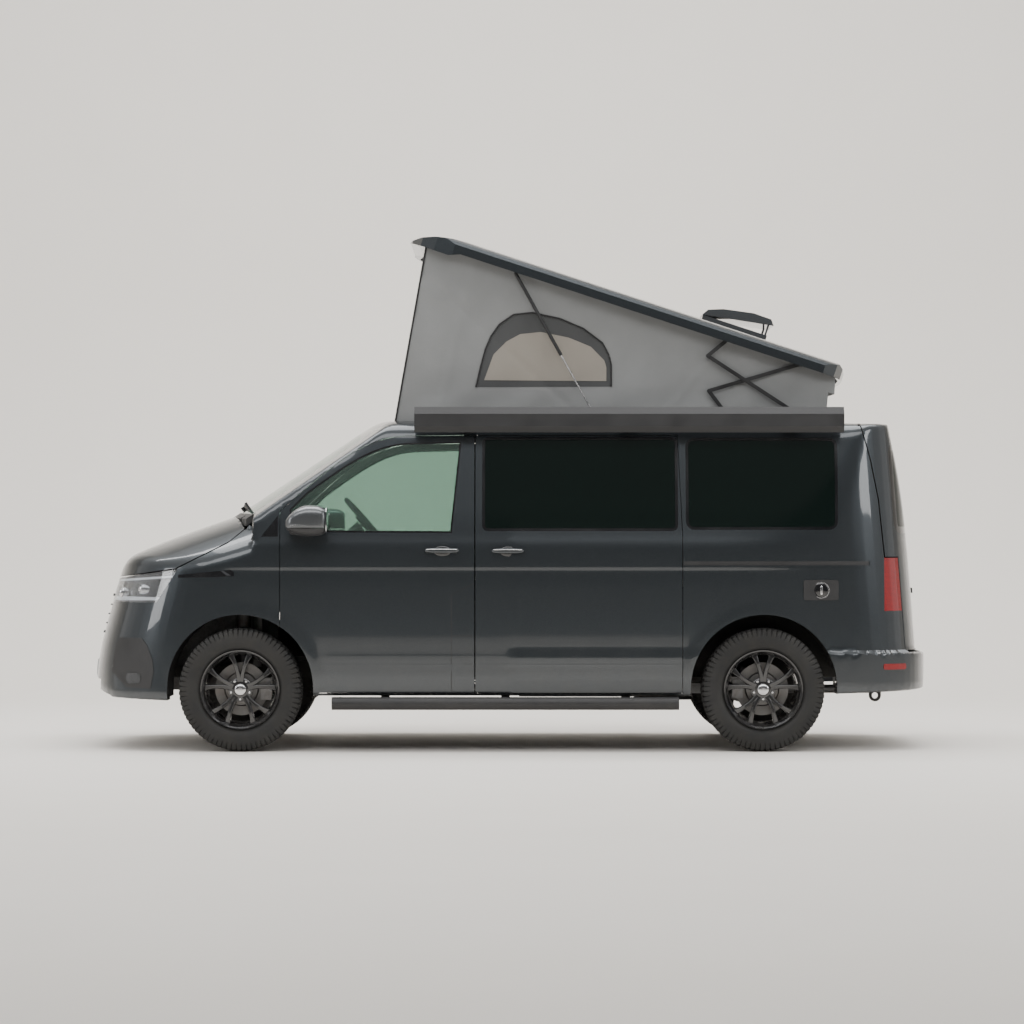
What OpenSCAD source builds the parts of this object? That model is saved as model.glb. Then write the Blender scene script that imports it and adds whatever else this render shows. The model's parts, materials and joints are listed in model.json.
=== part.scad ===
/* [Wheels and axles] */
// Distance between the two axles
wheelbase = 3000; // [2800:10:3600]
// Distance from the front axle to the foremost point
front_overhang = 905; // [850:5:1090]
// Distance from the rear axle to the rearmost point
rear_overhang = 999; // [940:5:1200]
// Distance between the middle planes of the two tyres on an axle
track = 1628; // [1560:2:1660]
// Outer radius of the tyre
tyre_r = 354; // [300:1:430]
// Width of the tyre
tyre_w = 235; // [195:5:250]
// Radius of the rim's flange
rim_r = 227; // [190:1:240]
// Free room between the tyre and the wheel arch
arch_room = 66; // [55:1:90]

/* [Body] */
// Greatest width of the body
body_w = 1904; // [1880:2:2290]
// Height of the fixed roof
roof_h = 1922; // [1760:2:2310]
// Height of the belt line under the windows
belt_h = 1240; // [1200:2:1300]
// Height of the sill's lower edge
sill_h = 319; // [260:1:340]
// Height of the cabin floor
floor_h = 500; // [460:1:540]
// Thickness of doors and side walls
wall_t = 58; // [40:1:72]
// Thickness of the fixed roof
roof_t = 34; // [24:1:42]
// Thickness of bonnet, wings and bumpers
panel_t = 24; // [15:1:30]
// Thickness of the glass
glass_t = 5; // [4:0.5:8]
// Shut line around doors and lids
shut_gap = 7; // [7:0.5:9]

/* [Pop-top] */
// Angle of the raised roof shell
lift_deg = 18.14; // [10:0.01:19]
// Half width of the roof shell
shell_half_w = 735; // [700:1:760]
// Height of the shell's rim
shell_rim_h = 82; // [70:1:100]
// Thickness of the shell
shell_t = 22; // [15:1:28]
// Half width of the canvas
canvas_half_w = 655; // [620:1:670]
// Half width of the opening in the fixed roof
hatch_half_w = 520; // [450:1:560]

/* [Fittings] */
// Length of the awning cassette
awning_len = 2455; // [2000:5:2946]
// Depth of the awning cassette
awning_d = 100; // [80:1:130]
// Radius of the side step tube
step_r = 37; // [30:1:45]
// Radius of the steering wheel
steer_r = 190; // [170:1:210]
// Radial clearance of a running pin
pin_fit = 0.05; // [0.02:0.01:0.1]
// Radius of the hinge pins
hinge_pin_r = 5; // [4:0.5:6]

/* [Hidden] */

paint = [0.27, 0.3, 0.32];
trim = [0.08, 0.08, 0.09];
glass = [0.12, 0.16, 0.16];
steel = [0.45, 0.45, 0.46];
cloth = [0.5, 0.51, 0.51];
wood = [0.72, 0.7, 0.66];
far = 3000;

// ---- Places along the van: x forward from the middle, y to the left, z up ----
x_front = (front_overhang + wheelbase + rear_overhang) / 2;
x_rear = -x_front;
x_fa = x_front - front_overhang;
x_ra = x_fa - wheelbase;
half_w = body_w / 2;
half_track = track / 2;
axle_h = tyre_r;
arch_r = tyre_r + arch_room;
arch_z = axle_h + 10;

// Heights that follow the belt line or the roof
function above_belt(h) = belt_h + h;
function below_roof(h) = roof_h - h;

// ---- Curves and outlines ----
function bezier(a, b, c, d, n) = [for (i = [0:n]) let (t = i / n, s = 1 - t)
    s * s * s * a + 3 * s * s * t * b + 3 * s * t * t * c + t * t * t * d];
function mirrored(half) = concat(half,
    [for (i = [len(half) - 1:-1:0]) if (abs(half[i][0]) > 0.01) [-half[i][0], half[i][1]]]);
function unit(v) = v / norm(v);
function inward(a, b) = let (e = unit(b - a)) [-e[1], e[0]];
function inset(p, d) = let (n = len(p)) [for (i = [0:n - 1])
    let (u = inward(p[(i + n - 1) % n], p[i]), w = inward(p[i], p[(i + 1) % n]))
    p[i] + d * (u + w) / (1 + u * w)];
function turned(p, c, a) = let (v = p - c)
    c + [v[0] * cos(a) - v[1] * sin(a), v[0] * sin(a) + v[1] * cos(a)];
// Where two circles meet; side is 1 or -1
function circles_meet(a, ra, b, rb, side) = let (v = b - a, d = norm(v),
    s = (ra * ra - rb * rb + d * d) / (2 * d), h = sqrt(ra * ra - s * s), e = v / d)
    a + s * e + side * h * [-e[1], e[0]];

// ---- Outline of the body seen from the side ----
nose_low = [x_front, 505];
nose_top = [x_front - 126, above_belt(-255)];
bonnet_end = [x_fa + 95, above_belt(115)];
screen_low = [x_fa + 63, above_belt(133)];
screen_top = [x_fa - 664, below_roof(66)];
roof_front = [x_fa - 963, roof_h];
roof_rear = [x_ra - 742, below_roof(38)];
gate_low = [x_ra - 939, 562];
screen_deg = atan2(screen_top[1] - screen_low[1], screen_low[0] - screen_top[0]);
body_outline = concat(
    [[x_rear + 22, 345], [x_ra - 430, 330], [x_ra - 380, sill_h], [x_fa - 400, sill_h],
     [x_fa + 415, 290], [x_front - 152, 300], [x_front - 52, 335], [x_front - 4, 430]],
    bezier(nose_low, [x_front - 18, 620], [x_front - 75, 850], nose_top, 5),
    bezier(nose_top + [-20, 46], [x_front - 185, above_belt(-105)],
        [x_fa + 463, above_belt(-3)], bonnet_end, 7),
    [screen_low],
    bezier(screen_top, screen_top + [-95, 60], roof_front + [130, 2], roof_front, 4),
    [roof_front + [-1000, 2], roof_rear + [640, 26]],
    bezier(roof_rear, [x_ra - 815, below_roof(330)], [x_ra - 910, above_belt(60)], gate_low, 6),
    [[x_rear + 14, 556], [x_rear, 505], [x_rear, 465]]);

// ---- Half section of the body: [y, z] from the sill up to the roof ----
half_section = concat(
    [[0, 200], [half_w - 60, 200], [half_w - 44, sill_h], [half_w - 16, 440], [half_w - 4, 650]],
    bezier([half_w, 850], [half_w + 1, above_belt(-200)], [half_w - 8, above_belt(-90)],
        [half_w - 27, belt_h], 4),
    bezier([half_w - 114, below_roof(122)], [half_w - 126, below_roof(46)],
        [half_w - 190, below_roof(28)], [half_w - 262, below_roof(22)], 5),
    [[half_w * 0.37, below_roof(6)], [0, roof_h]]);

// ---- Half plan of the body: [y, x] ----
plan_front = bezier([0, x_front], [half_w * 0.59, x_front], [half_w, x_front - 60],
    [half_w, x_fa - 60], 9);
plan_tail = bezier([half_w, x_ra + 200], [half_w - 12, x_rear + 60], [half_w * 0.8, x_rear],
    [0, x_rear], 9);
half_plan = concat(plan_front, plan_tail);
nose_lean = atan2(nose_low[0] - nose_top[0], nose_top[1] - nose_low[1]);
tail_lean = 4.5;

// ---- Crown of the bonnet: how far it falls towards its sides ----
bonnet_lean = 19.5;
function bonnet_fall(y) = 180 * pow(y / (half_w - 72), 4);
screen_r = 3900;
cowl_r = 2500;
cowl_x = bonnet_end[0] + 8;
scuttle_w = 40;

// Extrudes a side outline [x, z] across y from y0 to y1
module across(points, y0, y1) {
    translate([0, y1, 0]) rotate([90, 0, 0]) linear_extrude(y1 - y0) polygon(points);
}
// Extrudes a section [y, z] along x from x0 to x1
module along(points, x0, x1) {
    translate([x0, 0, 0]) rotate([90, 0, 90]) linear_extrude(x1 - x0) polygon(points);
}
// Plan [y, x] raised as a column from z0 to z1
module column(points, z0, z1) {
    translate([0, 0, z0]) linear_extrude(z1 - z0) polygon([for (p = points) [p[1], p[0]]]);
}
module box(low, high) {
    translate(low) cube(high - low);
}
// Cylinder along y
module rod_y(x, z, r, y0, y1, fn = 64) {
    translate([x, y1, z]) rotate([90, 0, 0]) cylinder(h = y1 - y0, r = r, $fn = fn);
}
module both_sides() {
    children();
    mirror([0, 1, 0]) children();
}

// ---- The body's envelope, moved inwards by t ----
module screen_barrel(t) {
    arc = [for (a = [16:-1:-16]) [(screen_r - t) * sin(a), (screen_r - t) * cos(a) - screen_r]];
    side = arc[0][0];
    translate([screen_low[0], 0, screen_low[1]]) rotate([0, screen_deg, 0])
        along(concat([[-side, -2 * far], [side, -2 * far]], arc), -2 * far, 2 * far);
    difference() {
        box([x_fa - 400, -far / 2, 0], [far, far / 2, far]);
        cowl_zone(0);
    }
}
module bonnet_crown(t) {
    half = [for (i = [0:8]) let (y = (half_w - 5) * i / 8) [y, -bonnet_fall(y)]];
    points = concat([[-half_w - 80, -1500], [half_w + 80, -1500], [half_w + 80, -bonnet_fall(half_w + 30)]],
        [for (i = [8:-1:1]) half[i]], [for (i = [0:8]) [-half[i][0], half[i][1]]],
        [[-half_w - 80, -bonnet_fall(half_w + 30)]]);
    translate([bonnet_end[0], 0, bonnet_end[1]]) rotate([0, bonnet_lean, 0])
        along(inset(points, t), -600, 1500);
    box([-far, -far / 2, 0], [x_fa - 70, far / 2, far]);
    intersection() {
        cowl_zone(0);
        box([0, -half_w + 160, 0], [far, half_w - 160, far]);
    }
}
module nose_column(t) {
    translate([nose_low[0], 0, nose_low[1]]) rotate([0, -nose_lean, 0])
        translate([-nose_low[0], 0, -nose_low[1]])
        column(inset(reversed(mirrored(half_plan)), t), -1200, far);
}
module tail_column(t) {
    translate([gate_low[0] - 12, 0, gate_low[1]]) rotate([0, tail_lean, 0])
        translate([-x_rear, 0, -gate_low[1]])
        column(inset(reversed(mirrored(half_plan)), t), -1200, far);
}
function reversed(p) = [for (i = [len(p) - 1:-1:0]) p[i]];
module envelope(t = 0, full_tail = false) {
    intersection() {
        across(inset(body_outline, t), -far / 2, far / 2);
        along(inset(mirrored(half_section), t), -far, far);
        column(inset(reversed(mirrored(half_plan)), t), 0, far);
        nose_column(t);
        if (!full_tail) tail_column(t);
        union() screen_barrel(t);
        union() bonnet_crown(t);
    }
}

// A shell of the body, t thick, inside the region given as children
module shell(t, full_tail = false) {
    difference() {
        intersection() {
            envelope(0, full_tail);
            union() children();
        }
        envelope(t, full_tail);
    }
}

// A side wall or door: the shell without the belly under the floor
module wall() {
    difference() {
        shell(wall_t) union() children();
        box([-far, -far, 0], [far, half_w - wall_t - 54, floor_h - 20]);
    }
}

// ---- Shut lines in the side view, [x, z] ----
door_front = x_fa - 227;
door_rear = x_fa - 1346;
slide_rear = x_ra + 462;
door_low = sill_h + 14;
door_high = below_roof(107);
cant_z = below_roof(54);
front_door_line = concat([[door_rear, door_low], [door_front, door_low]],
    bezier([door_front, above_belt(138)], [x_fa - 527, below_roof(282)],
        [x_fa - 687, below_roof(122)], [x_fa - 947, below_roof(110)], 8),
    [[door_rear, door_high]]);
slide_line = [[slide_rear, door_low], [door_rear, door_low], [door_rear, door_high],
    [slide_rear + 26, door_high], [slide_rear, belt_h]];
door_glass_line = concat([[x_fa - 285, above_belt(16)], [x_fa - 285, above_belt(150)]],
    bezier([x_fa - 384, above_belt(248)], [x_fa - 602, below_roof(281)],
        [x_fa - 747, below_roof(160)], [x_fa - 965, below_roof(151)], 6),
    [[x_fa - 1255, below_roof(143)], [x_fa - 1269, below_roof(150)], [x_fa - 1214, above_belt(12)]]);
function rounded(x0, z0, x1, z1, r) = [for (q = [[x1 - r, z1 - r, 0], [x0 + r, z1 - r, 90],
    [x0 + r, z0 + r, 180], [x1 - r, z0 + r, 270]], a = [0:22.5:90])
    [q[0] + r * cos(a + q[2]), q[1] + r * sin(a + q[2])]];
slide_glass_line = rounded(slide_rear + 27, above_belt(23), door_rear - 42, below_roof(118), 34);
quarter_glass_line = rounded(x_ra - 429, above_belt(30), slide_rear - 10 - 8, below_roof(122), 50);
gate_side_line = [[x_ra - 560, roof_h + 60], [x_ra - 560, below_roof(41)],
    [x_ra - 621, below_roof(250)], [x_ra - 669, above_belt(204)], [x_ra - 706, above_belt(-131)]];
bonnet_line = [[x_fa - 53, above_belt(62)], [x_fa + 71, above_belt(-45)],
    [x_fa + 375, above_belt(-197)], [x_front - 160, above_belt(-250)],
    [x_front + 50, above_belt(-262)]];
lamp_low_z = above_belt(-380);
bumper_line = [[x_fa + 358, above_belt(-490)], [x_fa + 485, lamp_low_z - 8],
    [x_front + 60, lamp_low_z - 8]];
tail_shelf_z = 562;
gate_wide_z = above_belt(-131);
gate_half_w = half_w - 262;
lamp_z0 = above_belt(-437);

// ---- Regions that the shut lines enclose ----
module arch(x, extra = 0, y0 = -far, y1 = far) {
    rod_y(x, arch_z, arch_r + extra, y0, y1, 96);
    box([x - arch_r - extra, y0, 0], [x + arch_r + extra, y1, arch_z]);
}
module arches(extra = 0) {
    arch(x_fa, extra);
    arch(x_ra - 3, extra);
}
module side_region(points, y0 = 500) {
    across(points, y0, 1200);
}
module bonnet_region(gap) {
    difference() {
        across(concat(bonnet_line + [for (p = bonnet_line) [0, gap]],
            [[x_front + 50, above_belt(400)], [x_fa - 53, above_belt(400)]]), -1200, 1200);
        translate([cowl_x - cowl_r, 0, 0]) cylinder(h = far, r = cowl_r + gap, $fn = 360);
    }
}
module cowl_zone(back) {
    translate([cowl_x - cowl_r, 0, 0]) cylinder(h = far, r = cowl_r - back, $fn = 360);
}
module screen_zone(margin = 0) {
    w0 = half_w - 172 + margin;
    w1 = half_w - 250 + margin;
    length = norm(screen_top - screen_low);
    intersection() {
        translate([screen_low[0], 0, screen_low[1]]) rotate([0, screen_deg, 0])
            translate([0, 0, -400]) linear_extrude(600)
            polygon([[60, -w0 - 6], [60, w0 + 6], [-length + 14 - margin, w1], [-length + 14 - margin, -w1]]);
        cowl_zone(scuttle_w);
    }
}
module roof_zone() {
    across([[x_ra - 560 + shut_gap, cant_z], [x_fa - 850, cant_z], [x_fa - 600, below_roof(96)],
        [x_fa - 500, roof_h + 200], [x_ra - 560 + shut_gap, roof_h + 200]], -far / 2, far / 2);
}
module gate_zone(gap = 0) {
    across(concat([[x_rear - 50, gate_wide_z + gap]], [[gate_side_line[4][0] - gap, gate_wide_z + gap]],
        [for (i = [4:-1:0]) gate_side_line[i] - [gap, 0]], [[x_rear - 50, roof_h + 60]]), -far / 2, far / 2);
    box([x_rear - 50, -gate_half_w + gap, tail_shelf_z + 5 + gap],
        [gate_side_line[4][0] - gap, gate_half_w - gap, gate_wide_z + gap + 1]);
}
module gate_opening() {
    across(concat([[x_rear - 50, gate_wide_z]], [[gate_side_line[4][0], gate_wide_z]],
        [for (i = [4:-1:0]) gate_side_line[i]], [[x_rear - 50, roof_h + 60]]), -far / 2, far / 2);
    box([x_rear - 50, -gate_half_w, tail_shelf_z],
        [gate_side_line[4][0], gate_half_w, gate_wide_z + 1]);
}
module lamp_zone() {
    box([x_rear - 50, gate_half_w, lamp_z0], [gate_side_line[4][0], 1200, gate_wide_z]);
}

// ---- Body ----
// Swinging arms of a door's two hinges, fixed to the body; drawn for the left side
hinge_x = door_front - shut_gap - 45;
hinge_y = half_w - 13;
hinge_zs = [above_belt(-430), above_belt(-130)];
hinge_h = 44;
module door_hinges() {
    reach = wall_t + 26;
    box([door_front + 8, hinge_y - reach, hinge_zs[0] - 20],
        [door_front + 40, hinge_y - reach + 40, above_belt(10)]);
    for (z = hinge_zs) difference() {
        union() {
            translate([hinge_x, hinge_y - 1, z]) cylinder(h = hinge_h, r = 8, $fn = 48);
            box([hinge_x - 4, hinge_y - reach, z], [hinge_x + 4, hinge_y - 1, z + hinge_h]);
            box([hinge_x - 4, hinge_y - reach, z],
                [door_front + 26, hinge_y - reach + 10, z + hinge_h]);
        }
        translate([hinge_x, hinge_y - 1, z - 1])
            cylinder(h = hinge_h + 2, r = hinge_pin_r + pin_fit, $fn = 48);
    }
}
module body_side(left) {
    color(paint) difference() {
        wall() box([x_rear, 330, 0], [x_fa - 40, 1200, cant_z]);
        box([-far, 0, 0], [far, half_w - 350, above_belt(100)]);
        box([x_ra - 400, 0, above_belt(100)], [x_fa - 850, half_w - 262, far]);
        side_region(front_door_line);
        if (left) side_region(slide_line);
        else across(slide_glass_line, 500, 1200);
        across(quarter_glass_line, 500, 1200);
        arches();
        roof_zone();
        gate_opening();
        lamp_zone();
        screen_zone();
        box([x_rear, 0, 0], [x_ra - 300, far, tail_shelf_z]);
        box([x_rear, 0, above_belt(100)], [x_ra - 400, gate_hinge_y + 40, far]);
        wing_zone();
        bonnet_region(0);
        difference() {
            cowl_zone(0);
            cowl_zone(scuttle_w);
            box([0, -half_w + 160, 0], [far, -far, far]);
            box([0, half_w - 160, 0], [far, far, far]);
        }
    }
    color(steel) door_hinges();
}
module body_side_left() { body_side(true); }
module body_side_right() { mirror([0, 1, 0]) body_side(false); }
module wing_zone() {
    across([[door_front, 0], [x_front + 50, 0], [x_front + 50, above_belt(-262)],
        bonnet_line[3], bonnet_line[2], bonnet_line[1], bonnet_line[0],
        [x_fa - 107, above_belt(62)], [x_fa - 129, above_belt(-25)], [door_front, above_belt(-25)]],
        -1200, 1200);
}
module bumper_zone() {
    across(concat(bumper_line, [[x_front + 60, 100], [x_fa + 300, 100],
        [x_fa + 300, above_belt(-490)]]), -1200, 1200);
}
module headlamp_zone() {
    both_sides() box([x_fa + 330, half_w * 0.47, lamp_low_z - 8], [x_front + 60, 1200, above_belt(0)]);
}
lamp_back = [[x_fa + 365, above_belt(-200)], [x_fa + 487, lamp_low_z - 8]];
module lamp_region() {
    intersection() {
        headlamp_zone();
        across([lamp_back[1], [x_front + 60, lamp_low_z - 8], [x_front + 60, above_belt(-100)],
            lamp_back[0] + [0, 100], lamp_back[0]], -1200, 1200);
    }
}
grille_low = 620;
module grille_zone(gap = 0) {
    along([[-half_w * 0.42 - gap, grille_low - gap], [half_w * 0.42 + gap, grille_low - gap],
        [half_w * 0.47, lamp_low_z - 8], [half_w * 0.47, above_belt(0)],
        [-half_w * 0.47, above_belt(0)], [-half_w * 0.47, lamp_low_z - 8]], x_fa + 500, x_front + 60);
}
module front_wings() {
    color(paint) both_sides() difference() {
        shell(panel_t) wing_zone();
        box([-far, -far, 0], [far, 360, far]);
        box([-far, -far, 0], [door_front, far, far]);
        bonnet_region(0);
        lamp_region();
        grille_zone();
        bumper_zone();
        arches();
        intersection() {
            cowl_zone(-shut_gap - 1);
            box([0, -far, 0], [far, half_w - 160, far]);
        }
        box([x_fa + 480, -far, 0], [far, half_w * 0.48, far]);
    }
}
bonnet_axis = [x_fa - 77, above_belt(90)];
bonnet_hinge_y = 660;
// Goosenecks that carry the bonnet, under its rear edge
module bonnet() {
    color(paint) shell(panel_t) bonnet_region(shut_gap);
    neck = [for (q = [[-9, -6], [38, -84], [130, -84], [175, 0], [175, 120], [124, 120],
        [124, -8], [118, -62], [50, -62], [9, 6]]) bonnet_axis + q];
    color(steel) both_sides() difference() {
        union() {
            intersection() {
                envelope(panel_t);
                across(neck, bonnet_hinge_y, bonnet_hinge_y + 10);
            }
            rod_y(bonnet_axis[0], bonnet_axis[1], 10, bonnet_hinge_y, bonnet_hinge_y + 10, 48);
        }
        rod_y(bonnet_axis[0], bonnet_axis[1], hinge_pin_r + pin_fit, 0, 900, 48);
    }
}
module bonnet_hinges() {
    both_sides() intersection() {
        envelope(roof_t - 4);
        union() {
            rod_y(bonnet_axis[0], bonnet_axis[1], hinge_pin_r, bonnet_hinge_y - 4, bonnet_hinge_y + 14, 48);
            box([bonnet_axis[0] - 10, bonnet_hinge_y + 12, bonnet_axis[1] - 10],
                [bonnet_axis[0] + 75, bonnet_hinge_y + 20, above_belt(200)]);
        }
    }
}
module scuttle() {
    color(trim) intersection() {
        shell(roof_t) cowl_zone(0.3);
        difference() {
            box([x_fa - 200, -half_w + 160.3, above_belt(-60)], [far, half_w - 160.3, far]);
            cowl_zone(scuttle_w);
            for (s = [-1, 1]) box([bonnet_axis[0] + 66, s * (bonnet_hinge_y + 5) - 14, 0],
                [far, s * (bonnet_hinge_y + 5) + 14, far]);
            for (s = [-1, 1]) box([bonnet_axis[0] + 30, s * (bonnet_hinge_y + 1) - 10, 0],
                [bonnet_axis[0] + 67, s * (bonnet_hinge_y + 1) + 10, bonnet_axis[1] + 6]);
        }
    }
    color(steel) bonnet_hinges();
}
module windscreen() {
    color(glass) shell(glass_t) screen_zone();
}
module roof_panel() {
    hatch_x0 = x_ra - 60;
    hatch_x1 = x_fa - 1090;
    color(paint) difference() {
        shell(roof_t) roof_zone();
        screen_zone();
        box([hatch_x0, -hatch_half_w, 1000], [hatch_x1, hatch_half_w, far]);
    }
    color(trim) both_sides() roof_brackets();
    color(steel) gate_hinges();
}
module bumper_mouth() {
    box([x_fa + 500, -half_w * 0.55, 345], [far, half_w * 0.55, 400]);
}
module front_bumper() {
    color(paint) difference() {
        shell(panel_t) bumper_zone();
        arches();
        arch(x_fa, 10.3, -liner_out - 0.3, liner_out + 0.3);
        grille_zone();
        bumper_mouth();
        box([-far, -half_w + 240, 0], [x_fa + 560, half_w - 240, 500]);
        box([-far, -far, above_belt(-490)], [x_fa + 358, far, far]);
        difference() {
            box([x_fa + 300, -far, 0], [x_fa + 600, far, far]);
            both_sides() box([x_fa + 300, 300, 0], [x_fa + 600, 1200, far]);
        }
    }
}
module grille() {
    color(trim) difference() {
        shell(panel_t) grille_zone();
        bonnet_region(0);
    }
}
module headlamps() {
    color(glass) difference() {
        shell(panel_t) lamp_region();
        bonnet_region(0);
    }
}
module rear_bumper() {
    color(paint) difference() {
        shell(wall_t, true) box([x_rear - 20, -1200, 0], [x_ra - 300, 1200, tail_shelf_z]);
        arches();
        box([x_rear + 260, -half_w + 230, 0], [x_ra - 300, half_w - 230, tail_shelf_z]);
    }
}
module tail_lamps() {
    color([0.6, 0.05, 0.06]) both_sides() shell(wall_t) lamp_zone();
}
module sliding_door() {
    color(paint) difference() {
        wall() side_region(inset(slide_line, shut_gap / 2));
        across(slide_glass_line, 500, 1200);
        arches(shut_gap / 2);
    }
    // Roller brackets: middle at the rear edge, top and bottom at the front edge
    color(trim) intersection() {
        envelope(wall_t);
        union() {
            box([slide_rear - 30, half_w - 150, above_belt(-180)], [slide_rear + 60, half_w, above_belt(-150)]);
            for (z = [door_low + 80, door_high - 50])
                box([door_rear - 40, half_w - 240, z], [door_rear + 20, half_w, z + 30]);
        }
    }
}
module door_shape() {
    notch = 10;
    difference() {
        wall() side_region(inset(front_door_line, shut_gap / 2));
        across(door_glass_line, 500, 1200);
        arches();
        for (z = hinge_zs)
            box([hinge_x - 16, half_w - wall_t - 40, z - notch],
                [door_front + 20, half_w - 5, z + hinge_h + notch]);
    }
    for (z = hinge_zs) translate([hinge_x, hinge_y - 1, z - notch - 10])
        cylinder(h = hinge_h + 2 * notch + 20, r = hinge_pin_r, $fn = 48);
}
module front_door_left() { color(paint) door_shape(); }
module front_door_right() { color(paint) mirror([0, 1, 0]) door_shape(); }
module door_glass() {
    color(glass) shell(glass_t) across(door_glass_line, 500, 1200);
}
module door_glass_left() { door_glass(); }
module door_glass_right() { mirror([0, 1, 0]) door_glass(); }
module side_windows() {
    color(glass) both_sides() shell(glass_t) {
        across(slide_glass_line, 500, 1200);
        across(quarter_glass_line, 500, 1200);
    }
}
mirror_x = x_fa - 386;
mirror_z = above_belt(88);
module door_mirror() {
    color(paint) difference() {
        translate([mirror_x, half_w + 96, mirror_z]) intersection() {
            rotate([90, 0, 0]) linear_extrude(196, center = true)
                polygon(rounded(-122, -86, 122, 86, 46));
            linear_extrude(180, center = true) polygon(rounded(-122, -98, 122, 98, 60));
        }
        envelope(-6);
    }
    color(trim) difference() {
        box([mirror_x - 10, half_w - 120, above_belt(24)], [mirror_x + 100, half_w + 40, above_belt(60)]);
        envelope(0);
    }
}
module mirror_left() { door_mirror(); }
module mirror_right() { mirror([0, 1, 0]) door_mirror(); }

// ---- Tailgate ----
gate_axis_x = x_ra - 560 - shut_gap - 50;
gate_axis_z = below_roof(43);
gate_glass_low = above_belt(12);
module gate_glass_zone() {
    along(rounded(-half_w + 250, gate_glass_low, half_w - 250, below_roof(150), 60), x_rear, x_ra - 700);
}
gate_hinge_y = 480;
// Arms under the roof's rear edge that carry the tailgate
module gate_hinges() {
    drop = 52;
    end = gate_axis_x + 50 + shut_gap;
    both_sides() difference() {
        union() {
            rod_y(gate_axis_x, gate_axis_z, 9, gate_hinge_y - 12, gate_hinge_y + 12, 48);
            box([gate_axis_x - 5, gate_hinge_y - 12, gate_axis_z - drop],
                [gate_axis_x + 5, gate_hinge_y + 12, gate_axis_z - 4]);
            box([gate_axis_x - 5, gate_hinge_y - 12, gate_axis_z - drop - 10],
                [end + 40, gate_hinge_y + 12, gate_axis_z - drop]);
            intersection() {
                envelope(roof_t - 1);
                box([end + 12, gate_hinge_y - 12, gate_axis_z - drop - 1],
                    [end + 40, gate_hinge_y + 12, roof_h]);
            }
        }
        rod_y(gate_axis_x, gate_axis_z, hinge_pin_r + pin_fit, 0, 600, 48);
    }
}
module tailgate() {
    color(paint) difference() {
        union() {
            shell(roof_t) intersection() {
                gate_zone(shut_gap);
                box([x_ra - 760, -far, below_roof(120)], [far, far, far]);
            }
            shell(wall_t) gate_zone(shut_gap);
        }
        gate_glass_zone();
        for (s = [-1, 1]) box([gate_axis_x - 20, s * gate_hinge_y - 34, 0],
            [far, s * gate_hinge_y + 34, gate_axis_z + 10]);
    }
    color(steel) rod_y(gate_axis_x, gate_axis_z, hinge_pin_r, -gate_hinge_y - 40, gate_hinge_y + 40, 48);
}
module tailgate_glass() {
    color(glass) shell(glass_t) gate_glass_zone();
}

// ---- Lifting roof: places in the closed pose, swung up by lift_deg about the pole ----
pole = [x_ra - 1115, above_roof(24)];
function above_roof(h) = roof_h + h;
function lifted(p) = turned(p, pole, lift_deg);
function lowered(p) = turned(p, pole, -lift_deg);
function bisector_at(a, b, z) = let (m = (a + b) / 2, v = b - a, d = [-v[1], v[0]])
    m + d * (z - m[1]) / d[1];
skirt_z = pole[1] - 16;
fold_z = above_roof(21);
arm_a_len = 618;
arm_a_mid = 359;
arm_b_tail = 219;
pivot_p1 = [x_ra - 212, fold_z];
pivot_q1_low = [x_ra - 184, fold_z - 1.4];
cross_low = pivot_p1 + [arm_a_mid, 0];
pivot_q1 = lifted(pivot_q1_low);
cross = circles_meet(pivot_p1, arm_a_mid, pivot_q1, norm(cross_low - pivot_q1_low), -1);
tip_a = pivot_p1 + arm_a_len * unit(cross - pivot_p1);
tip_a_low = pivot_p1 + [arm_a_len, 0];
tip_b = cross + arm_b_tail * unit(cross - pivot_q1);
tip_b_low = cross_low + arm_b_tail * unit(cross_low - pivot_q1_low);
pivot_q2_low = bisector_at(lowered(tip_a), tip_a_low, fold_z);
pivot_q2 = lifted(pivot_q2_low);
pivot_p2 = bisector_at(tip_b, tip_b_low, fold_z);
strut_top_low = [x_fa - 1440, fold_z - 3];
strut_top = lifted(strut_top_low);
strut_foot = [x_fa - 2033, fold_z];
strut_y = 690;
tube_len = 561;
flat_t = 4;
flat_w = 22;
plane_link_low = canvas_half_w + 9;
plane_b = plane_link_low + flat_t + 1;
plane_a = plane_b + flat_t + 1;
plane_link_top = plane_a + flat_t + 1;

// Flat bar with round ends from a to b, with a bore at a
module flat_bar(a, b, y) {
    v = b - a;
    both_sides() difference() {
        translate([a[0], y, a[1]]) rotate([0, -atan2(v[1], v[0]), 0]) union() {
            translate([0, 0, -flat_w / 2]) cube([norm(v), flat_t, flat_w]);
            rod_y(0, 0, flat_w / 2, 0, flat_t, 48);
            rod_y(norm(v), 0, flat_w / 2, 0, flat_t, 48);
        }
        rod_y(a[0], a[1], hinge_pin_r + pin_fit, y - 1, y + flat_t + 1, 48);
    }
}
module scissor_arms_a() { color(trim) flat_bar(pivot_p1, tip_a, plane_a); }
module scissor_arms_b() { color(trim) flat_bar(pivot_q1, tip_b, plane_b); }
module top_links() { color(trim) flat_bar(pivot_q2, tip_a, plane_link_top); }
module bottom_links() { color(trim) flat_bar(pivot_p2, tip_b, plane_link_low); }
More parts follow.
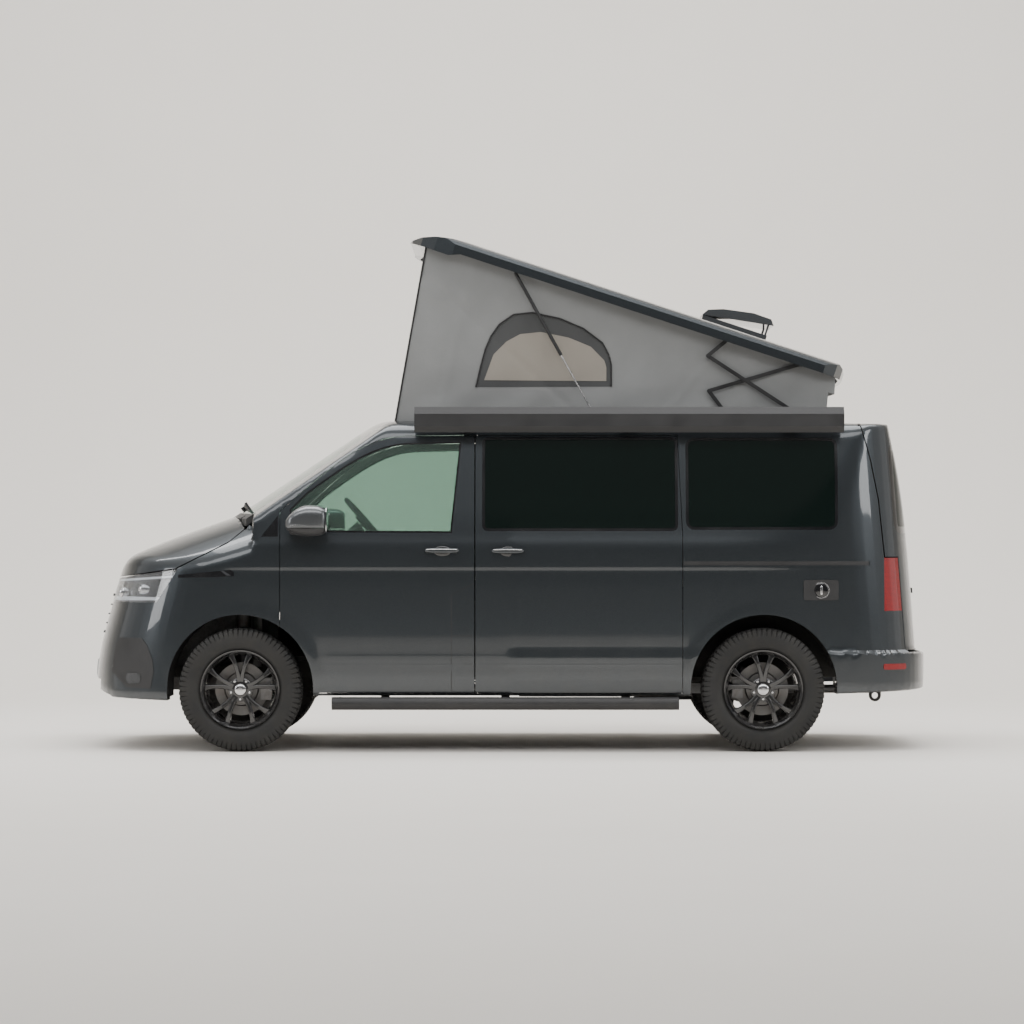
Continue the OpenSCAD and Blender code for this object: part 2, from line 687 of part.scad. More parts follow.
// Bracket that stands on the fixed roof, with its plate from y0 to y1 and its pin up to pin_y
module roof_bracket(p, y0, y1, pin_y) {
    difference() {
        box([p[0] - 18, y0, below_roof(60)], [p[0] + 18, y1, p[1] + 8]);
        envelope(0.2);
    }
    rod_y(p[0], p[1], hinge_pin_r, min(y0, pin_y), max(y1, pin_y), 48);
}
module roof_brackets() {
    roof_bracket(pivot_p1, plane_a + flat_t + 1, plane_a + flat_t + 9, plane_a - 0.4);
    roof_bracket(pivot_p2, plane_link_low - 7, plane_link_low - 1, plane_link_low + flat_t + 0.4);
    roof_bracket(strut_foot, strut_y + 11, strut_y + 16, strut_y - 8);
}
// Bracket under the shell's ceiling, drawn with the roof closed
module shell_bracket(p, y0, y1, pin_y) {
    box([p[0] - 16, y0, p[1] - 10], [p[0] + 16, y1, skirt_z + shell_rim_h - shell_t + 4]);
    rod_y(p[0], p[1], hinge_pin_r, min(y0, pin_y), max(y1, pin_y), 48);
}
module roof_lifted() {
    translate([pole[0], 0, pole[1]]) rotate([0, -lift_deg, 0]) translate([-pole[0], 0, -pole[1]])
        children();
}
shell_top_z = skirt_z + shell_rim_h;
shell_rear = x_ra - 472;
shell_nose = x_fa - 772;
shell_line = concat([[shell_rear + 9, 1000], [shell_nose - 6, 1000]],
    bezier([shell_nose, skirt_z - 70], [shell_nose - 14, skirt_z + 10],
        [shell_nose - 110, shell_top_z - 20], [shell_nose - 400, shell_top_z + 8], 6),
    bezier([shell_nose - 900, shell_top_z + 24], [shell_nose - 1500, shell_top_z + 30],
        [shell_rear + 700, shell_top_z + 30], [shell_rear + 90, shell_top_z + 12], 4),
    bezier([shell_rear + 45, shell_top_z - 14], [shell_rear + 20, shell_top_z - 30],
        [shell_rear, skirt_z + 40], [shell_rear, skirt_z + 26], 3));
shell_section = mirrored(concat([[0, 1000], [shell_half_w, 1000]],
    bezier([shell_half_w, shell_top_z - 36], [shell_half_w - 4, shell_top_z - 10],
        [shell_half_w - 40, shell_top_z + 2], [shell_half_w - 130, shell_top_z + 8], 4),
    [[shell_half_w * 0.4, shell_top_z + 24], [0, shell_top_z + 30]]));
shell_plan = mirrored(concat(
    bezier([0, shell_rear], [shell_half_w * 0.7, shell_rear], [shell_half_w, shell_rear + 12],
        [shell_half_w, shell_rear + 150], 5),
    bezier([shell_half_w, shell_nose - 300], [shell_half_w, shell_nose - 40],
        [shell_half_w * 0.7, shell_nose + 4], [0, shell_nose + 4], 6)));
module shell_block(t) {
    intersection() {
        across(inset(shell_line, t), -1000, 1000);
        along(inset(shell_section, t), -far, far);
        column(inset(shell_plan, t), 0, far);
    }
}
module pop_top() {
    color(paint) roof_lifted() {
        difference() {
            shell_block(0);
            shell_block(shell_t);
            envelope(-9);
            across([[-far, 0], [shell_nose, 0], [shell_nose + 60, skirt_z - 110],
                [x_fa - 990, skirt_z - 48], [x_fa - 1117, skirt_z], [-far, skirt_z]], -1000, 1000);
        }
        both_sides() {
            shell_bracket(pivot_q1_low, plane_b - 8, plane_b - 2, plane_b + flat_t + 0.4);
            shell_bracket(pivot_q2_low, plane_link_top + flat_t + 1, plane_link_top + flat_t + 7,
                plane_link_top - 0.4);
            shell_bracket(strut_top_low, strut_y + 11, shell_half_w - shell_t + 1, strut_y - 8);
        }
    }
}
vent_x = x_ra + 224;
module roof_vent() {
    base_z = shell_top_z + 24;
    color(trim) roof_lifted() {
        difference() {
            box([vent_x - 200, -205, base_z], [vent_x + 200, 205, base_z + 42]);
            shell_block(-0.3);
            box([vent_x - 170, -175, base_z - 5], [vent_x + 170, 175, base_z + 50]);
        }
        translate([vent_x + 205, 0, base_z + 41]) rotate([0, 9, 0])
            across([[-430, 0], [0, 0], [-30, 34], [-120, 52], [-300, 56], [-410, 36]], -215, 215);
        for (s = [-1, 1]) box([vent_x - 195, s * 190 - 6, base_z + 41], [vent_x - 183, s * 190 + 6, base_z + 112]);
    }
}
module strut_axis(from = strut_top, to = strut_foot) {
    v = to - from;
    translate([from[0], strut_y, from[1]]) rotate([0, 90 - atan2(v[1], v[0]), 0]) children();
}
module strut_tubes() {
    color(trim) both_sides() difference() {
        strut_axis() {
            translate([0, 0, 14]) cylinder(h = tube_len - 14, r = 10, $fn = 48);
            rod_y(0, 0, 10, -6, 6, 48);
            translate([-5, -6, 0]) cube([10, 12, 20]);
        }
        strut_axis() translate([0, 0, 60]) cylinder(h = tube_len, r = 5.5, $fn = 48);
        rod_y(strut_top[0], strut_top[1], hinge_pin_r + pin_fit, strut_y - 8, strut_y + 8, 48);
    }
}
module strut_rods() {
    gap = norm(strut_foot - strut_top);
    color(steel) both_sides() difference() {
        strut_axis() {
            translate([0, 0, tube_len - 90]) cylinder(h = gap - tube_len + 81.5, r = 5, $fn = 48);
            rod_y(0, gap, 10, -6, 6, 48);
        }
        rod_y(strut_foot[0], strut_foot[1], hinge_pin_r + 3, strut_y - 8, strut_y + 8, 48);
    }
}
canvas_x0 = x_ra - 419;
canvas_x1 = x_fa - 875;
canvas_t = 4;
module canvas_wedge(t) {
    low = below_roof(60);
    top0 = lifted([canvas_x0 - 50, shell_top_z - shell_t - 2]);
    top1 = lifted([shell_nose - 130, shell_top_z - shell_t - 12]);
    across([[canvas_x0 + t, low], [canvas_x1 - t, low], [top1[0] - t, top1[1]],
        [top0[0] + 25 + t, top0[1] + 8]], -canvas_half_w + t, canvas_half_w - t);
}
module canvas() {
    color(cloth) difference() {
        canvas_wedge(0);
        roof_lifted() box([-far, -1000, 0], [shell_rear + shell_t + 20, 1000, far]);
        canvas_wedge(canvas_t);
        box([canvas_x0 + canvas_t, -canvas_half_w + canvas_t, 0],
            [x_fa - 1200, canvas_half_w - canvas_t, roof_h + 60]);
        envelope(-0.5);
        roof_lifted() difference() {
            box([-far, -1000, skirt_z - 90], [far, 1000, far]);
            shell_block(shell_t + 0.5);
        }
    }
}

// ---- Chassis ----
rail_y = 415;
tow_x = x_rear + 310;
tow_z = 300;
liner_in = 470;
liner_out = half_w - wall_t - 54;
front_wall = x_fa - 127;
panel_plate = 30;
cross_front = x_front - 170;
// Upright panels across the body: the front bulkhead, the nose's and the tail's
module cross_panels() {
    color(trim) {
        difference() {
            intersection() {
                envelope(wall_t + 0.3);
                box([front_wall, -half_w, floor_h], [front_wall + panel_plate, half_w, above_belt(10)]);
            }
            both_sides() arch(x_fa, 10.3, liner_in - 0.3, 1200);
            both_sides() box([x_fa - 110, 500, 0], [far, far, far]);
        }
        box([cross_front - panel_plate, -rail_y - 60, floor_h - 100], [cross_front, rail_y + 60, floor_h + 280]);
        intersection() {
            envelope(wall_t + 0.3);
            box([x_rear + 170, -half_w, floor_h], [x_rear + 170 + panel_plate, half_w, tail_shelf_z - 8]);
        }
    }
}
module underbody() {
    color(trim) difference() {
        union() {
            intersection() {
                envelope(wall_t + 0.3);
                box([x_rear + 170, -half_w, floor_h - panel_plate], [x_fa + arch_r + 14, half_w, floor_h]);
            }
            both_sides() box([x_rear + 150, rail_y, floor_h - 90],
                [cross_front - panel_plate, rail_y + 60, floor_h - panel_plate]);
            for (x = [x_fa - 700, 0, x_ra + 620, x_ra - 620])
                box([x - 30, -rail_y, floor_h - 90], [x + 30, rail_y, floor_h - panel_plate]);
        }
        both_sides() arch(x_fa, 10.3, liner_in - 0.3, 1200);
        both_sides() arch(x_ra - 3, 10.3, liner_in + 40 - 0.3, 1200);
        box([front_wall + panel_plate, -half_w, floor_h - panel_plate - 1], [far, half_w, floor_h + 1]);
        both_sides() box([x_fa - 110, 500, 0], [far, far, far]);
    }
    // Rear towing eye
    color(trim) difference() {
        union() {
            box([tow_x - 35, rail_y + 15, tow_z], [tow_x + 35, rail_y + 31, floor_h - 89]);
            rod_y(tow_x, tow_z, 35, rail_y + 15, rail_y + 31, 64);
        }
        rod_y(tow_x, tow_z, 18, rail_y + 10, rail_y + 40, 64);
    }
}
module liner(x, y0, back) {
    difference() {
        arch(x, 10, y0, liner_out);
        arch(x, 4, back ? y0 + 6 : y0 - 1, liner_out + 1);
        box([x - 900, y0 - 1, -far], [x + 900, liner_out + 1, axle_h - 50]);
        if (back) box([x - 900, y0 - 1, -far], [x + 900, liner_out + 1, floor_h + 0.3]);
    }
}
module wheel_liners() {
    color(trim) both_sides() {
        difference() {
            liner(x_fa, liner_in, false);
            translate([x_fa, king_low_y, king_low_z]) rotate([king_deg, 0, 0])
                cylinder(h = 900, r = spring_r + 8, $fn = 48);
        }
        liner(x_ra - 3, liner_in + 40, true);
    }
}
// Steering axis of the left wheel: from the lower ball joint up to the strut's top
king_low_y = half_track - 74;
king_low_z = axle_h - 104;
king_top_z = 905;
king_deg = 13.06;
spring_r = 44;
hub_r = 62;
hub_face = half_track - 50;
disc_y0 = half_track - 40;
disc_y1 = disc_y0 + 22;
module king_axis() {
    translate([x_fa, king_low_y, king_low_z]) rotate([king_deg, 0, 0]) children();
}
// The stub on which a wheel turns runs inwards from its hub
stub_r = 20;
stub_len = 70;
// Brake caliper around the disc, behind the axle (side -1) or ahead of it (side 1)
module caliper(x, side, h) {
    translate([x, 0, axle_h]) mirror([side < 0 ? 1 : 0, 0, 0]) {
        box([112, disc_y0 - 41, -h], [172, disc_y0 - 6, h]);
        box([160, disc_y0 - 41, -h], [172, disc_y1 + 18, h]);
        box([112, disc_y1 + 6, -h], [172, disc_y1 + 18, h]);
    }
}
module knuckle() {
    color(steel) difference() {
        union() {
            rod_y(x_fa, axle_h, hub_r, hub_face - stub_len - 4, hub_face - 6, 64);
            king_axis() translate([0, 0, 16]) cylinder(h = 130, r = 26, $fn = 64);
            king_axis() translate([0, 0, 130]) cylinder(h = 330, r = 20, $fn = 64);
            // Brake caliper behind the axle, around the disc
            caliper(x_fa, -1, 62);
            box([x_fa - 120, disc_y0 - 64, axle_h - 30], [x_fa - 40, disc_y0 - 30, axle_h + 30]);
            // Steering arm to the rear
            box([x_fa - 150, king_low_y - 18, axle_h - 40], [x_fa - 20, king_low_y + 2, axle_h - 16]);
        }
        rod_y(x_fa, axle_h, stub_r + pin_fit, hub_face - 200, hub_face + 10, 64);
        king_axis() translate([0, 0, -50]) cylinder(h = 120, r = 10 + pin_fit, $fn = 48);
    }
}
module knuckle_left() { knuckle(); }
module knuckle_right() { mirror([0, 1, 0]) knuckle(); }
module front_suspension() {
    color(steel) {
        box([x_fa - 150, -370, 210], [x_fa + 120, 370, 270]);
        both_sides() {
            // Lower arm, its ball stud, and the post that ties the frame to the rail
            box([x_fa - 60, 369, 222], [x_fa + 50, king_low_y - 60, 244]);
            box([x_fa - 26, king_low_y - 61, 222], [x_fa + 26, king_low_y + 15, 244]);
            king_axis() translate([0, 0, -16]) cylinder(h = 72, r = 10, $fn = 48);
            box([x_fa - 140, 300, 269], [x_fa - 90, 370, floor_h - 100]);
            box([x_fa - 140, 300, floor_h - 101], [x_fa - 90, rail_y, floor_h - 70]);
            difference() {
                union() {
                    king_axis() translate([0, 0, 461]) cylinder(h = 205, r = spring_r, $fn = 64);
                    box([x_fa - 70, 500, 880], [x_fa + 70, 680, 904]);
                    box([x_fa - 96.7, 500, 840], [x_fa - 60, 600, 904]);
                }
                king_axis() translate([0, 0, -200]) cylinder(h = 661, r = 40, $fn = 48);
            }
        }
    }
}
module rear_suspension() {
    arm = [[x_ra + 430, 480], [x_ra + 430, 560], [x_ra + 60, hub_face - stub_len + 30],
        [x_ra - 60, hub_face - stub_len + 30], [x_ra - 60, 580], [x_ra + 120, 480]];
    color(steel) both_sides() difference() {
        union() {
            translate([0, 0, axle_h - 35]) linear_extrude(60) polygon(arm);
            rod_y(x_ra, axle_h, hub_r, 600, hub_face - 6, 64);
            box([x_ra + 400, rail_y + 61, axle_h - 35], [x_ra + 440, 540, floor_h - 30]);
            // Spring and damper under the floor
            translate([x_ra + 60, 545, axle_h + 24]) cylinder(h = floor_h - 30 - axle_h - 24, r = 52, $fn = 64);
            translate([x_ra - 50, 605, axle_h + 20]) cylinder(h = floor_h - 30 - axle_h - 20, r = 20, $fn = 48);
            caliper(x_ra, 1, 52);
            box([x_ra + 30, disc_y0 - 64, axle_h - 25], [x_ra + 120, disc_y0 - 30, axle_h + 25]);
        }
        rod_y(x_ra, axle_h, stub_r + pin_fit, hub_face - 150, hub_face + 10, 64);
    }
    color(steel) box([x_ra + 395, -rail_y + 0.3, floor_h - 80], [x_ra + 435, rail_y - 0.3, floor_h - 30.3]);
}
module powertrain() {
    color(steel) {
        box([x_fa - 30, -360, 330], [x_fa + 533, 360, 900]);
        both_sides() {
            box([x_fa + 200, 359, 430], [x_fa + 260, rail_y, 470]);
            rod_y(x_fa, axle_h, 14, 359, 610, 48);
            translate([x_fa, 605, axle_h]) sphere(r = 36, $fn = 48);
        }
    }
}
exhaust_z = 310;
module exhaust() {
    color(steel) {
        translate([x_ra + 700, -230, exhaust_z]) rotate([0, 90, 0]) cylinder(h = 1500, r = 28, $fn = 48);
        translate([x_ra + 350, -230, exhaust_z]) rotate([0, 90, 0]) cylinder(h = 351, r = 68, $fn = 64);
        difference() {
            translate([x_rear + 260, -230, exhaust_z]) rotate([0, 90, 0])
                cylinder(h = x_ra + 351 - x_rear - 260, r = 26, $fn = 48);
            translate([x_rear + 259, -230, exhaust_z]) rotate([0, 90, 0]) cylinder(h = 121, r = 22, $fn = 48);
        }
        for (x = [x_ra + 500, x_ra + 1500]) box([x - 6, -240, exhaust_z + 10], [x + 6, -220, floor_h - 30.3]);
        box([x_rear + 480, -236, exhaust_z + 10], [x_rear + 492, -224, floor_h - 30.3]);
    }
}
module fuel_tank() {
    color(trim) box([x_ra + 700, -70, 290], [x_ra + 1400, 380, floor_h - 30.3]);
}

// ---- Wheels, drawn at the left front ----
module tyre(x, y) {
    w = tyre_w / 2;
    bead = rim_r - 9.7;
    half = concat([[bead, w - 24], [rim_r + 1.5, w - 24]],
        bezier([rim_r + 5, w - 6], [rim_r + 30, w + 2], [tyre_r - 50, w + 1],
        [tyre_r - 12, w - 14], 4), [[tyre_r - 3, w - 26], [tyre_r, 0]]);
    outline = concat(half, [for (i = [len(half) - 2:-1:0]) [half[i][0], -half[i][1]]]);
    color(trim) translate([x, y, axle_h]) rotate([90, 0, 0])
        rotate_extrude($fn = 120) polygon(outline);
}
module rim(x) {
    w = tyre_w / 2;
    bead = rim_r - 10;
    color(trim) translate([x, half_track, axle_h]) rotate([-90, 0, 0]) {
        // Barrel
        rotate_extrude($fn = 120) polygon([[bead - 20, -w + 18], [rim_r, -w + 10], [rim_r, -w + 13],
            [bead, -w + 22], [bead, w - 22], [rim_r, w - 13], [rim_r, w - 10], [bead - 20, w - 18]]);
        // Hub, stub and brake disc
        translate([0, 0, -50]) cylinder(h = 120, r = 66, $fn = 64);
        translate([0, 0, -50 - stub_len]) cylinder(h = stub_len + 10, r = stub_r, $fn = 64);
        translate([0, 0, disc_y0 - half_track]) cylinder(h = disc_y1 - disc_y0, r = 152, $fn = 96);
        // Five pairs of spokes
        for (a = [0:72:359], s = [-1, 1]) rotate([0, 0, a + s * 11])
            translate([40, -11, w - 62]) cube([bead - 55, 22, 34]);
    }
}
module rim_front_left() { rim(x_fa); }
module rim_front_right() { mirror([0, 1, 0]) rim(x_fa); }
module rim_rear_left() { rim(x_ra); }
module rim_rear_right() { mirror([0, 1, 0]) rim(x_ra); }
module tyre_front_left() { tyre(x_fa, half_track); }
module tyre_front_right() { tyre(x_fa, -half_track); }
module tyre_rear_left() { tyre(x_ra, half_track); }
module tyre_rear_right() { tyre(x_ra, -half_track); }

// ---- Cabin ----
column_foot = [x_fa - 663, -half_w * 0.44, above_belt(85)];
column_deg = 41.4;
module column_axis() {
    translate(column_foot) rotate([0, 90 + column_deg, 0]) children();
}
module dashboard() {
    wall = x_fa - 127.3;
    color(trim) {
        across([[wall, 780], [wall, above_belt(70)], [wall - 120, above_belt(95)],
            [wall - 290, above_belt(60)], [wall - 330, above_belt(-40)], [wall - 260, above_belt(-130)],
            [wall - 130, 800]], -half_w + wall_t + 90, half_w - wall_t - 90);
        difference() {
            column_axis() translate([0, 0, 40]) cylinder(h = 260, r = 34, $fn = 48);
            column_axis() translate([0, 0, 0]) cylinder(h = 90, r = 12 + pin_fit, $fn = 48);
        }
    }
}
module steering_wheel() {
    color(trim) column_axis() {
        rotate_extrude($fn = 96) translate([steer_r - 15, 0]) circle(r = 15, $fn = 32);
        translate([0, 0, -8]) cylinder(h = 40, r = 62, $fn = 64);
        translate([0, 0, 20]) cylinder(h = 68, r = 12, $fn = 48);
        for (a = [90, 210, 330]) rotate([0, 0, a]) translate([40, -16, -5]) cube([steer_r - 65, 32, 14]);
    }
}
module front_seats() {
    color(cloth) both_sides() translate([x_fa - 1150, half_w * 0.44, 0]) {
        box([20, -200, floor_h], [440, 200, floor_h + 330]);
        across(rounded(-30, floor_h + 330.3, 490, floor_h + 470, 50), -235, 235);
        across(rounded(-640, floor_h + 360, -31, floor_h + 480, 50), -225, 225);
        across(rounded(-820, floor_h + 380, -660, floor_h + 470, 36), -130, 130);
        box([-662, -60, floor_h + 410], [-638, -40, floor_h + 430]);
        box([-662, 40, floor_h + 410], [-638, 60, floor_h + 430]);
        box([-32, -200, floor_h + 400], [-28, 200, floor_h + 430]);
    }
}
module rear_bench() {
    color(cloth) {
        box([x_ra - 60, -330, floor_h], [x_ra + 480, 500, floor_h + 300]);
        across(rounded(x_ra - 60, floor_h + 300.3, x_ra + 520, floor_h + 440, 50), -335, 505);
        across(rounded(x_ra - 200, floor_h + 300.3, x_ra - 60.3, above_belt(10), 55), -335, 505);
        box([x_ra - 190, -300, floor_h], [x_ra - 60.3, 470, floor_h + 300]);
    }
}
module kitchen_unit() {
    back = half_w - wall_t;
    color(wood) intersection() {
        envelope(wall_t + 6);
        union() {
            box([x_ra + 460, -back, floor_h], [x_fa - 1990, -back + 440, above_belt(-10)]);
            box([x_ra - 560, -back, floor_h + 330], [x_ra + 459.7, -back + 440, below_roof(150)]);
        }
    }
}

// ---- Outside fittings ----
module side_steps() {
    x0 = x_fa - 2515;
    x1 = x_fa - 527;
    y = half_w - 22;
    color(trim) both_sides() {
        translate([x0, y, 276]) rotate([0, 90, 0]) cylinder(h = x1 - x0, r = step_r, $fn = 64);
        for (x = [x0 + 40, x1 - 40]) rod_y(x, 276, step_r * 0.8, y - 190, y, 48);
        for (x = [x0 + 300, (x0 + x1) / 2, x1 - 300])
            box([x - 25, y - 190, 272], [x + 25, y - 10, 284]);
        for (x = [x0 + 300, (x0 + x1) / 2, x1 - 300])
            box([x - 25, y - 190, 272], [x + 25, y - 178, floor_h - 30]);
    }
}
module awning() {
    x1 = x_fa - 1001;
    x0 = x1 - awning_len;
    y0 = half_w - 57;
    z0 = below_roof(94);
    section = [[y0, z0 + 30], [y0 + 18, z0], [y0 + awning_d - 30, z0], [y0 + awning_d, z0 + 34],
        [y0 + awning_d, z0 + 104], [y0 + awning_d - 26, z0 + 145], [y0 + 6, z0 + 145], [y0, z0 + 120]];
    color(trim) {
        along(section, x0, x1);
        for (x = [x0 + 300, (x0 + x1) / 2, x1 - 300]) difference() {
            box([x - 45, half_w - 190, z0 + 34], [x + 45, y0, z0 + 56]);
            envelope(0);
        }
    }
}
// How far up the screen a wiper lies to clear the curved scuttle at y
function cowl_drop(y) = 26 + y * y / (2 * cowl_r) / cos(screen_deg);
module wipers() {
    color(trim) difference() {
        translate([screen_low[0], 0, screen_low[1]]) rotate([0, screen_deg, 0])
            for (y = [-30, -640]) {
                translate([-cowl_drop(y), y, -60]) rotate([0, 0, atan2(cowl_drop(y + 560) - cowl_drop(y), 560)])
                    cube([14, 560, 72]);
                translate([-cowl_drop(y + 280) + 4, y + 280, -60]) cylinder(h = 74, r = 11, $fn = 32);
            }
        envelope(-0.5);
    }
}

body_side_left();
body_side_right();
roof_panel();
underbody();
cross_panels();
front_wings();
scuttle();
windscreen();
side_windows();
sliding_door();
front_door_left();
front_door_right();
door_glass_left();
door_glass_right();
mirror_left();
mirror_right();
bonnet();
front_bumper();
grille();
headlamps();
rear_bumper();
tail_lamps();
tailgate();
tailgate_glass();
powertrain();
front_suspension();
rear_suspension();
knuckle_left();
knuckle_right();
tyre_front_left();
tyre_front_right();
tyre_rear_left();
tyre_rear_right();
rim_front_left();
rim_front_right();
rim_rear_left();
rim_rear_right();
wheel_liners();
exhaust();
fuel_tank();
dashboard();
steering_wheel();
front_seats();
rear_bench();
kitchen_unit();
side_steps();
awning();
wipers();
canvas();
pop_top();
roof_vent();
scissor_arms_a();
scissor_arms_b();
top_links();
bottom_links();
strut_tubes();
strut_rods();
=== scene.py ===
import json
import math

import bmesh
import bpy
import numpy as np
from mathutils import Matrix, Vector

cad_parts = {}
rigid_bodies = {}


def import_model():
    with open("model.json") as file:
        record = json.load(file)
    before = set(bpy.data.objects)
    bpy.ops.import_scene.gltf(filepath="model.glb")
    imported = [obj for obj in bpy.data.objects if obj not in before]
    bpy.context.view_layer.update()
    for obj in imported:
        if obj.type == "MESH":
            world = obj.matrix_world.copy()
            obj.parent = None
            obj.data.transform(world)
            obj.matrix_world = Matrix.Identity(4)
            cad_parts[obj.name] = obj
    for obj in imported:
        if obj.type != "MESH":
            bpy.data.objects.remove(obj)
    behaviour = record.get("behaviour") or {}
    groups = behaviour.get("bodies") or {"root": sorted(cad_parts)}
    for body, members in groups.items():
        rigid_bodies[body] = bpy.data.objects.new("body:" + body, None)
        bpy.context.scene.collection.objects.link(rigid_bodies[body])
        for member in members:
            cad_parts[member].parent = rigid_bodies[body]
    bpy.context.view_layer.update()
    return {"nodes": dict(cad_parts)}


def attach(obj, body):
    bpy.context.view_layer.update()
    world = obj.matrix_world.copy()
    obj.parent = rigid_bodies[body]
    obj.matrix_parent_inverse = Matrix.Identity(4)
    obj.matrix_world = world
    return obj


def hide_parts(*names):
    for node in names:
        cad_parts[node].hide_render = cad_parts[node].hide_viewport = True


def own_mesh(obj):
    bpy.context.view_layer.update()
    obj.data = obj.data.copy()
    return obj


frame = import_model()
MM = 0.001
SEED = 7
rng = np.random.default_rng(SEED)

# ---------------------------------------------------------------- sizes, in millimetres
X_FRONT, X_REAR = 2452.0, -2452.0
X_FA, X_RA = 1547.0, -1453.0
HALF_W, ROOF_H, BELT_H, SILL_H = 952.0, 1922.0, 1240.0, 319.0
WALL_T, ROOF_T, PANEL_T, GLASS_T = 58.0, 34.0, 24.0, 5.0
GAP = 7.0
TYRE_R, RIM_R, TYRE_W, HALF_TRACK = 354.0, 227.0, 235.0, 814.0
ARCH_R, ARCH_Z = 420.0, 364.0
AXLE_H = TYRE_R
COWL_R, SCUTTLE_W = 2500.0, 40.0


def above_belt(h):
    return BELT_H + h


def below_roof(h):
    return ROOF_H - h


def bezier(a, b, c, d, n=12):
    t = np.linspace(0, 1, n + 1)[:, None]
    a, b, c, d = (np.array(p, float) for p in (a, b, c, d))
    s = 1 - t
    return (s**3 * a + 3 * s**2 * t * b + 3 * s * t**2 * c + t**3 * d).tolist()


def rounded(x0, z0, x1, z1, r, steps=8):
    out = []
    for cx, cz, start in ((x1 - r, z1 - r, 0), (x0 + r, z1 - r, 90), (x0 + r, z0 + r, 180), (x1 - r, z0 + r, 270)):
        for i in range(steps + 1):
            a = math.radians(start + 90 * i / steps)
            out.append([cx + r * math.cos(a), cz + r * math.sin(a)])
    return out


def area(points):
    p = np.array(points)
    q = np.roll(p, -1, axis=0)
    return 0.5 * float(np.sum(p[:, 0] * q[:, 1] - q[:, 0] * p[:, 1]))


def inset(points, d):
    """Moves a closed outline inwards by d."""
    p = np.array(points, float)
    if area(points) < 0:
        p = p[::-1]
    keep = [i for i in range(len(p)) if np.linalg.norm(p[i] - p[i - 1]) > 1e-6]
    p = p[keep]
    e = np.roll(p, -1, axis=0) - p
    e /= np.linalg.norm(e, axis=1)[:, None]
    n = np.stack([-e[:, 1], e[:, 0]], axis=1)
    u = np.roll(n, 1, axis=0)
    dot = np.sum(u * n, axis=1)
    return (p + d * (u + n) / (1 + dot)[:, None]).tolist()


def curve_through(points, n=160):
    """Smooth monotone curve through points (s, v): returns dense s and v."""
    p = np.array(points, float)
    h = np.diff(p[:, 0])
    k = np.diff(p[:, 1]) / h
    m = np.zeros(len(p))
    m[0], m[-1] = k[0], k[-1]
    for i in range(1, len(p) - 1):
        m[i] = 0 if k[i - 1] * k[i] <= 0 else 2 * k[i - 1] * k[i] / (k[i - 1] + k[i])
    s = np.linspace(p[0, 0], p[-1, 0], n)
    i = np.clip(np.searchsorted(p[:, 0], s, side="right") - 1, 0, len(h) - 1)
    t = (s - p[i, 0]) / h[i]
    v = ((2 * t**3 - 3 * t**2 + 1) * p[i, 1] + (t**3 - 2 * t**2 + t) * h[i] * m[i]
         + (-2 * t**3 + 3 * t**2) * p[i + 1, 1] + (t**3 - t**2) * h[i] * m[i + 1])
    return s, v


# ---------------------------------------------------------------- outlines shared with the solids
NOSE_LOW, NOSE_TOP = [X_FRONT, 505.0], [X_FRONT - 126, above_belt(-255)]
BONNET_END = [X_FA + 95, above_belt(115)]
SCREEN_LOW, SCREEN_TOP = [X_FA + 63, above_belt(133)], [X_FA - 664, below_roof(66)]
ROOF_FRONT, ROOF_REAR = [X_FA - 963, ROOF_H], [X_RA - 742, below_roof(38)]
GATE_LOW = [X_RA - 939, 562.0]
SCREEN_DEG = math.degrees(math.atan2(SCREEN_TOP[1] - SCREEN_LOW[1], SCREEN_LOW[0] - SCREEN_TOP[0]))
NOSE_LEAN = math.atan2(NOSE_LOW[0] - NOSE_TOP[0], NOSE_TOP[1] - NOSE_LOW[1])
TAIL_LEAN = math.radians(4.5)
BONNET_LEAN = math.radians(19.5)
SCREEN_R = 3900.0
COWL_X = BONNET_END[0] + 8
DOOR_FRONT, DOOR_REAR, SLIDE_REAR = X_FA - 227, X_FA - 1346, X_RA + 462
DOOR_LOW, DOOR_HIGH, CANT_Z = SILL_H + 14, below_roof(107), below_roof(54)

body_profile = (
    [[X_REAR + 22, 345], [X_RA - 430, 330], [X_RA - 380, SILL_H], [X_FA - 400, SILL_H], [X_FA + 415, 290],
     [X_FRONT - 152, 300], [X_FRONT - 52, 335], [X_FRONT - 4, 430]]
    + bezier(NOSE_LOW, [X_FRONT + 6, 640], [X_FRONT - 50, 870], NOSE_TOP)
    + bezier([NOSE_TOP[0] - 20, NOSE_TOP[1] + 46], [X_FRONT - 185, above_belt(-105)],
             [X_FA + 463, above_belt(-3)], BONNET_END)
    + [SCREEN_LOW]
    + bezier(SCREEN_TOP, [SCREEN_TOP[0] - 95, SCREEN_TOP[1] + 60], [ROOF_FRONT[0] + 130, ROOF_FRONT[1] + 2], ROOF_FRONT)
    + [[ROOF_FRONT[0] - 1000, ROOF_FRONT[1] + 2], [ROOF_REAR[0] + 640, ROOF_REAR[1] + 26]]
    + bezier(ROOF_REAR, [X_RA - 815, below_roof(330)], [X_RA - 910, above_belt(60)], GATE_LOW)
    + [[X_REAR + 14, 556], [X_REAR, 505], [X_REAR, 465]])
section_s, section_v = curve_through(
    [(200, HALF_W - 62), (SILL_H, HALF_W - 44), (440, HALF_W - 17), (650, HALF_W - 4), (850, HALF_W), (1040, HALF_W - 2),
     (1150, HALF_W - 9), (BELT_H, HALF_W - 27), (1400, HALF_W - 52), (1600, HALF_W - 83), (1800, HALF_W - 114)])
